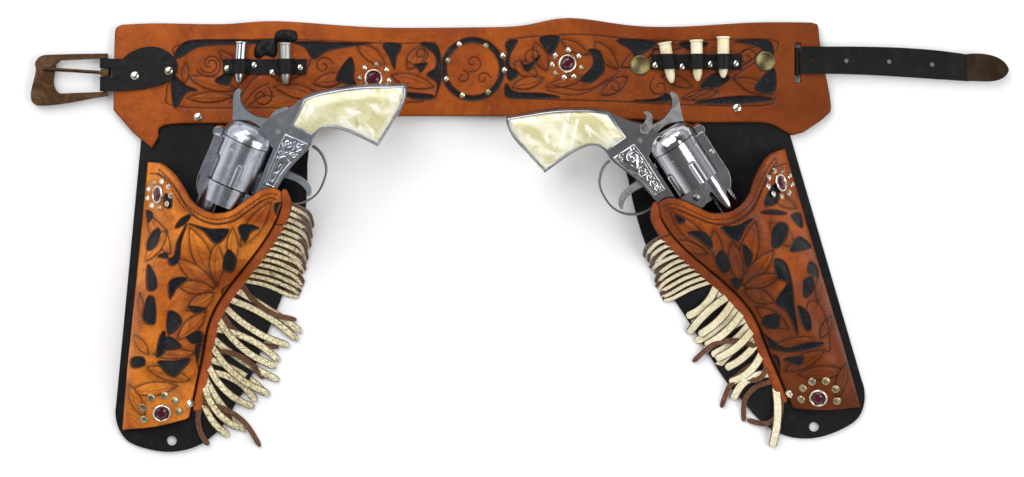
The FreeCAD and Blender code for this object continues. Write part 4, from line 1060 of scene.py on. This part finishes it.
def fringe(side):
    """The cut thongs along the seam: short ones with a brown back strip, then long ones."""
    verts, faces, picks = [], [], []

    def add(piece, brown):
        v, f, p = piece
        start = len(verts)
        verts.extend(v)
        faces.extend(tuple(k + start for k in face) for face in f)
        picks.extend([1] * len(p) if brown else p)

    def rest_height(x, y):
        return (BACK_TOP if x < backing_edge(y) else 0.0) + 0.15

    out, top, count, drop, lean, wide = SHORT_THONGS[side]
    for i in range(count):
        y = top - 3.7 * i
        x = float(seam(y)) - ROOT
        end = (out - 0.3 * i + rng.normal(0, 0.8), y - drop + 0.35 * i + rng.normal(0, 1.4))
        high = float(lip(y)) + 0.1
        low = rest_height(*end)
        reach = end[0] - x
        droop = 0.42 * drop + rng.normal(0, 0.6)
        for brown in (1, 0):
            shift, sink = 1.9 * brown, 0.9 * brown
            points = [(x, y + shift, high - sink),
                      (x + 0.4 * reach, y - lean + shift, high * 0.86 + low * 0.14 + 0.6 - sink),
                      (x + 0.82 * reach + brown, y - droop + shift, high * 0.45 + low * 0.55 - sink),
                      (end[0] + 0.8 * brown, end[1] + 0.8 * shift, low)]
            add(ribbon(points, 2.7 + 0.5 * brown, rng.normal(-20, 10)), brown)
    for number, (y, end, bend, brown) in enumerate(LONG_THONGS[side]):
        x = float(seam(y)) - ROOT
        run = np.array([end[0] - x, end[1] - y])
        sideways = np.array([run[1], -run[0]]) / np.hypot(*run) * bend
        high, low = float(lip(y)) + 0.1, rest_height(*end)
        layer = (1.3, 0.1, 2.4)[number % 3]
        points = [(x, y, high)]
        for t in (0.3, 0.65):
            at = np.array([x, y]) + run * t + sideways * math.sin(math.pi * t)
            fall = (1 - t) ** 1.6
            points.append((*at, rest_height(*at) * (1 - fall) + high * fall + layer + rng.uniform(0, 1.2)))
        points.append((*end, low + rng.uniform(0, 1.2)))
        add(ribbon(points, 3.3 if brown else wide, rng.normal(0, 9) + (30 if brown else 0)), brown)
    if POCKETS[side]["hand"] < 0:
        faces[:] = [f[::-1] for f in faces]
    verts = to_world(side, verts)
    verts[:, 2] = np.maximum(verts[:, 2], 0.05)
    mesh_object(f"{side}_fringe_thongs", (verts, faces), [CREAM[side], BROWN], "belt",
                f"{side}_holster_fringe", picks)


ROSETTES = [(10.4, 147.5), (24.5, 13.8)]
TOE_SPOTS = [(14, 8.5), (13, 16), (17.5, 22.5), (25.8, 24.5), (32.3, 22), (35, 15.5)]


def pocket_trim(side):
    """Spots and the rivet of a pocket; returns the seats of its bezels and of its jewels."""
    hand = POCKETS[side]["hand"]
    a = math.radians(POCKETS[side]["turn"])
    spin = np.array([[math.cos(a), -math.sin(a), 0], [math.sin(a), math.cos(a), 0], [0, 0, 1]])

    def seat(x, y, raise_by):
        at, normal = surface(x, y)
        up = spin @ (normal[0] * (hand, 1, 1))
        return tuple(to_world(side, at + normal * raise_by)[0]), tuple(up)

    ring = 9
    spots = [seated(spun(NAILHEAD, 8, 0.5), *seat(x, y, -0.15), SPOT)
             for x, y in circle_points(ROSETTES[0], 8.2, ring, 80)]
    spots += [seated(spun(ROUND_HEAD, 16), *seat(x, y, -0.15), LARGE_SPOT) for x, y in TOE_SPOTS]
    spots.append(seated(spun(ROUND_HEAD, 20), *seat(41.0, 20.5, -SEAT), RIVET))
    picks = finishes(spots, lambda k: k % 4 == 1 if k < ring else k < ring + len(TOE_SPOTS))
    mesh_object(f"{side}_nailheads", gather(spots), [NICKEL, ANTIQUE], "belt",
                f"{side}_holster_spots", picks, flat=True)
    return [seat(*centre, -SEAT) for centre in ROSETTES], [seat(*centre, 0.25) for centre in ROSETTES]


def pockets():
    bezels, gems = [], []
    for side in POCKETS:
        pocket_front(side)
        stitches(side)
        welt(side)
        fringe(side)
        softened(f"{side}_holster_backing", "belt", BLACK, 0.5)
        low, high = pocket_trim(side)
        bezels += [seated(bezel_shape(), at, up) for at, up in low]
        gems += [seated(spun(GEM, 10), at, up, JEWEL) for at, up in high]
    mesh_object("pocket_bezels", gather(bezels), [NICKEL], "belt", "holster_jewel_bezels")
    mesh_object("pocket_gems", gather(gems), [GARNET], "belt", "holster_jewels", flat=True)


# ---------------------------------------------------------------- the pistols

def gun_frame(side):
    """The pistol's origin and axes, from its joints."""
    joints = {j["name"]: j for j in frame["joints"]}
    ahead = -np.array(joints[f"{side}_gun_draw"]["axis"])
    out = np.array(joints[f"{side}_hammer_cock"]["axis"])
    up = np.cross(out, ahead)
    pivot = np.array(joints[f"{side}_hammer_cock"]["pos_m"]) / MM
    return pivot - ahead * HAMMER_PIVOT[0] - up * HAMMER_PIVOT[1], np.array([ahead, up, out])


def gun_points(side, plan, out):
    """Points of a pistol's side view, moved out from its middle plane, as world points."""
    origin, axes = gun_frame(side)
    return origin + np.column_stack([plan, np.full(len(plan), out)]) @ axes


GRIP = [(-55.5, -27.3), (-38.2, -26.2), (-38, -38.8), (-43, -41.5), (-46.6, -46), (-48.6, -52), (-49.4, -60),
        (-49, -68), (-48.6, -77.2), (-66, -79.9), (-79, -80.8), (-86, -78.6), (-81, -68), (-77, -59.5),
        (-72, -50.2), (-66.6, -41.5), (-61.5, -34)]
FACES = {"right": 1, "left": -1}


def grip_loop():
    corners = [GRIP[0:2], GRIP[1:3], GRIP[2:9], GRIP[8:12], GRIP[11:] + GRIP[:1]]
    lines = [smooth_line(run)[:-1] if len(run) > 2 else np.array(run[:1], float) for run in corners]
    return np.concatenate(lines)


def grip(side, word, face):
    """A crowned grip panel and its metal rim; face is the side's direction along the pistol's own axis."""
    loop = grip_loop()
    xs = np.arange(-88, -37, 0.8)
    ys = np.arange(-82, -25, 0.8)

    def lift(plan, _):
        d = nearest(plan, loop, True)[0]
        crown = np.sqrt(1 - (1 - np.clip(d / 7.5, 0, 1)) ** 2)
        z = FRAME_HALF + 1.0 + (GRIP_THICK - 0.6) * crown
        return gun_points(side, plan, face * z)

    def under(plan):
        return gun_points(side, plan, face * FRAME_HALF)

    shape, _ = sheet_mesh(xs, ys, loop, [], lift, under, PLAIN, 0.0, face < 0)
    mesh_object(f"{side}_gun_{word}_panel", shape, [PEARL], f"{side}_gun",
                f"{side}_gun_grip_{word}")
    rim = loop + unit(loop - loop.mean(0)) * 0.7
    path = gun_points(side, rim, face * (FRAME_HALF + 0.35))
    mesh_object(f"{side}_gun_{word}_rim", tube(path, 0.75, 8, True), [SHELL[side]], f"{side}_gun")


ENGRAVING = {
    "right": {
        "scale": 0.45,
        "cuts": [spiral((-25, -28.6), 4.2, 40, 1.4), spiral((-14.5, -28.0), 3.4, 200, 1.3, -1),
                 spiral((-4, -26.2), 3.0, 30, 1.3), spiral((-29, -34.5), 2.4, 120, 1.2),
                 [(-30, -24), (-22, -23.6), (-12, -23.8), (2, -23.8)],
                 [(-30.4, -37), (-24, -35.6), (-12, -31.6), (1, -29)]],
        "petals": [((-20, -31), (-27, -36), 1.2), ((-11, -30), (-18, -33.2), 1.1),
                   ((-8, -28), (-10, -24.6), 1.0), ((-19, -28), (-20, -24.2), 1.0),
                   ((-1, -27), (1.6, -24.4), 0.8), ((-28, -26), (-31, -24.6), 0.8)],
        "patches": [],
    },
    "left": {
        "scale": 0.4,
        "cuts": [[(-17, -25.2), (-8, -25.0), (0.6, -25.0)], [(0.6, -25), (0.6, -28.6)],
                 [(0.6, -28.6), (-8, -29.8), (-17, -32.4)], [(-17, -32.4), (-19.4, -29), (-17, -25.2)],
                 spiral((-26.6, -27.6), 3.2, 40, 1.3), spiral((-27.4, -34.0), 2.6, 200, 1.3, -1),
                 spiral((-21.6, -32.6), 1.9, 120, 1.1), spiral((-20.6, -25.6), 1.6, 300, 1.1)],
        "petals": [((-23, -30), (-30.6, -31), 0.8), ((-22, -28), (-23.4, -24), 0.7),
                   ((-24, -33), (-24, -36.6), 0.7), ((-2, -26.8), (-8, -26.6), 0.7),
                   ((-8, -27.6), (-14, -28.4), 0.8)],
        "patches": [],
    },
}


def engraving(side, word, face):
    """A thin engraved skin on the frame's side."""
    panel = smooth_line([(-31.6, -23.2), (-20, -22.4), (2.6, -22.4)])[:-1]
    low = smooth_line([(2.6, -30.4), (-8, -31.7), (-18, -34.6), (-26, -37.6), (-31.6, -38.8)])
    loop = np.concatenate([panel, [(2.6, -22.4)], low])

    def lift(plan, high):
        return gun_points(side, plan, face * (FRAME_HALF + 0.55 + high))

    def under(plan):
        return gun_points(side, plan, face * (FRAME_HALF - 0.1))

    xs, ys = np.arange(-33, 4, 0.25), np.arange(-40, -21, 0.25)
    shape, marks = sheet_mesh(xs, ys, loop, [], lift, under, ENGRAVING[side], 0.4, face < 0)
    mesh_object(f"{side}_gun_{word}_engraving", shape, [SHELL[side]], f"{side}_gun",
                marks={"dark": marks["dark"]})


def pistol(side):
    gun = f"{side}_gun"
    nickel = f"{gun}_nickel"
    shell, steel = SHELL[side], STEEL[side]
    for part, body, material, slot, width in [
            ("frame_left", gun, shell, nickel, 0.9), ("frame_right", gun, shell, nickel, 0.9),
            ("barrel", gun, shell, nickel, 0.5), ("cylinder", f"{gun}_cylinder", shell, nickel, 0.4),
            ("hammer", f"{gun}_hammer", steel, "lock_steel", 0.7),
            ("trigger", f"{gun}_trigger", steel, "lock_steel", 0.6),
            ("release_lever", f"{gun}_release_lever", steel, "lock_steel", 0.5),
            ("trigger_guard", gun, GUARD, "lock_steel", 0.35), ("screws", gun, steel, "lock_steel", 0.1)]:
        softened(f"{gun}_{part}", body, material, width)
    for part in ("pins", "hammer_spring", "trigger_spring"):
        node = frame["nodes"][f"{gun}_{part}"]
        node.data.materials.clear()
        node.data.materials.append(steel)
    for word, face in FACES.items():
        grip(side, word, face)
        engraving(side, word, face)


# ---------------------------------------------------------------- the stage

def stage():
    """A white floor, three soft lights and a sky that is bright low down and dark above."""
    floor = bpy.data.meshes.new("floor")
    far, low = 3, -0.0003
    corners = [(-far, -far, low), (far, -far, low), (far, far, low), (-far, far, low)]
    floor.from_pydata(corners, [], [(0, 1, 2, 3)])
    floor.materials.append(Shader("paper", (0.93, 0.93, 0.93), 0.6).material)
    table = new_object("floor", floor)
    for name, at, size, power in [("key", (-0.7, 0.9, 1.5), 1.7, 26), ("fill", (1.2, -0.25, 1.3), 1.2, 18),
                                  ("rim", (0.1, 1.5, 0.7), 0.5, 4)]:
        light = bpy.data.lights.new(name, "AREA")
        light.size = size
        light.energy = power
        lamp = new_object(name, light)
        aim = (Vector((0, 0.05, 0)) - Vector(at)).to_track_quat("-Z", "Y")
        lamp.matrix_world = Matrix.Translation(at) @ aim.to_matrix().to_4x4()
    world = bpy.data.worlds.new("studio")
    world.use_nodes = True
    sky = Nodes(world.node_tree, "Generated")
    back = sky.tree.nodes["Background"]
    tone = sky.tree.nodes.new("ShaderNodeValToRGB")
    stops = [(0.0, 0.5), (0.26, 1.05), (0.44, 0.8), (0.6, 0.34), (0.8, 0.12), (0.93, 0.2), (1.0, 0.24)]
    while len(tone.color_ramp.elements) < len(stops):
        tone.color_ramp.elements.new(0.5)
    for element, (at, value) in zip(tone.color_ramp.elements, stops):
        element.position = at
        element.color = (value * 0.97, value * 0.98, value, 1)
    sky.link(sky.along("Z"), tone.inputs["Fac"])
    sky.link(tone.outputs["Color"], back.inputs["Color"])
    sky.link(sky.span(sky.along("X"), -1.0, 1.0, 1.25, 0.55), back.inputs["Strength"])
    bpy.context.scene.world = world
    bpy.context.scene.view_settings.view_transform = "Standard"


def camera():
    """Straight above, so that the width of the picture covers the set as the photograph does."""
    high, wide, centre = 2.4, 0.635, (-0.0053, -0.0037)
    view = bpy.data.cameras.new("camera")
    view.sensor_width = 36
    view.lens = 36 * high / wide
    eye = new_object("camera", view)
    eye.location = (*centre, high)
    bpy.context.scene.camera = eye


belt_panel()
belt_trim()
torn_leather()
belt_fittings()
pockets()
for gun_side in POCKETS:
    pistol(gun_side)
stage()
camera()
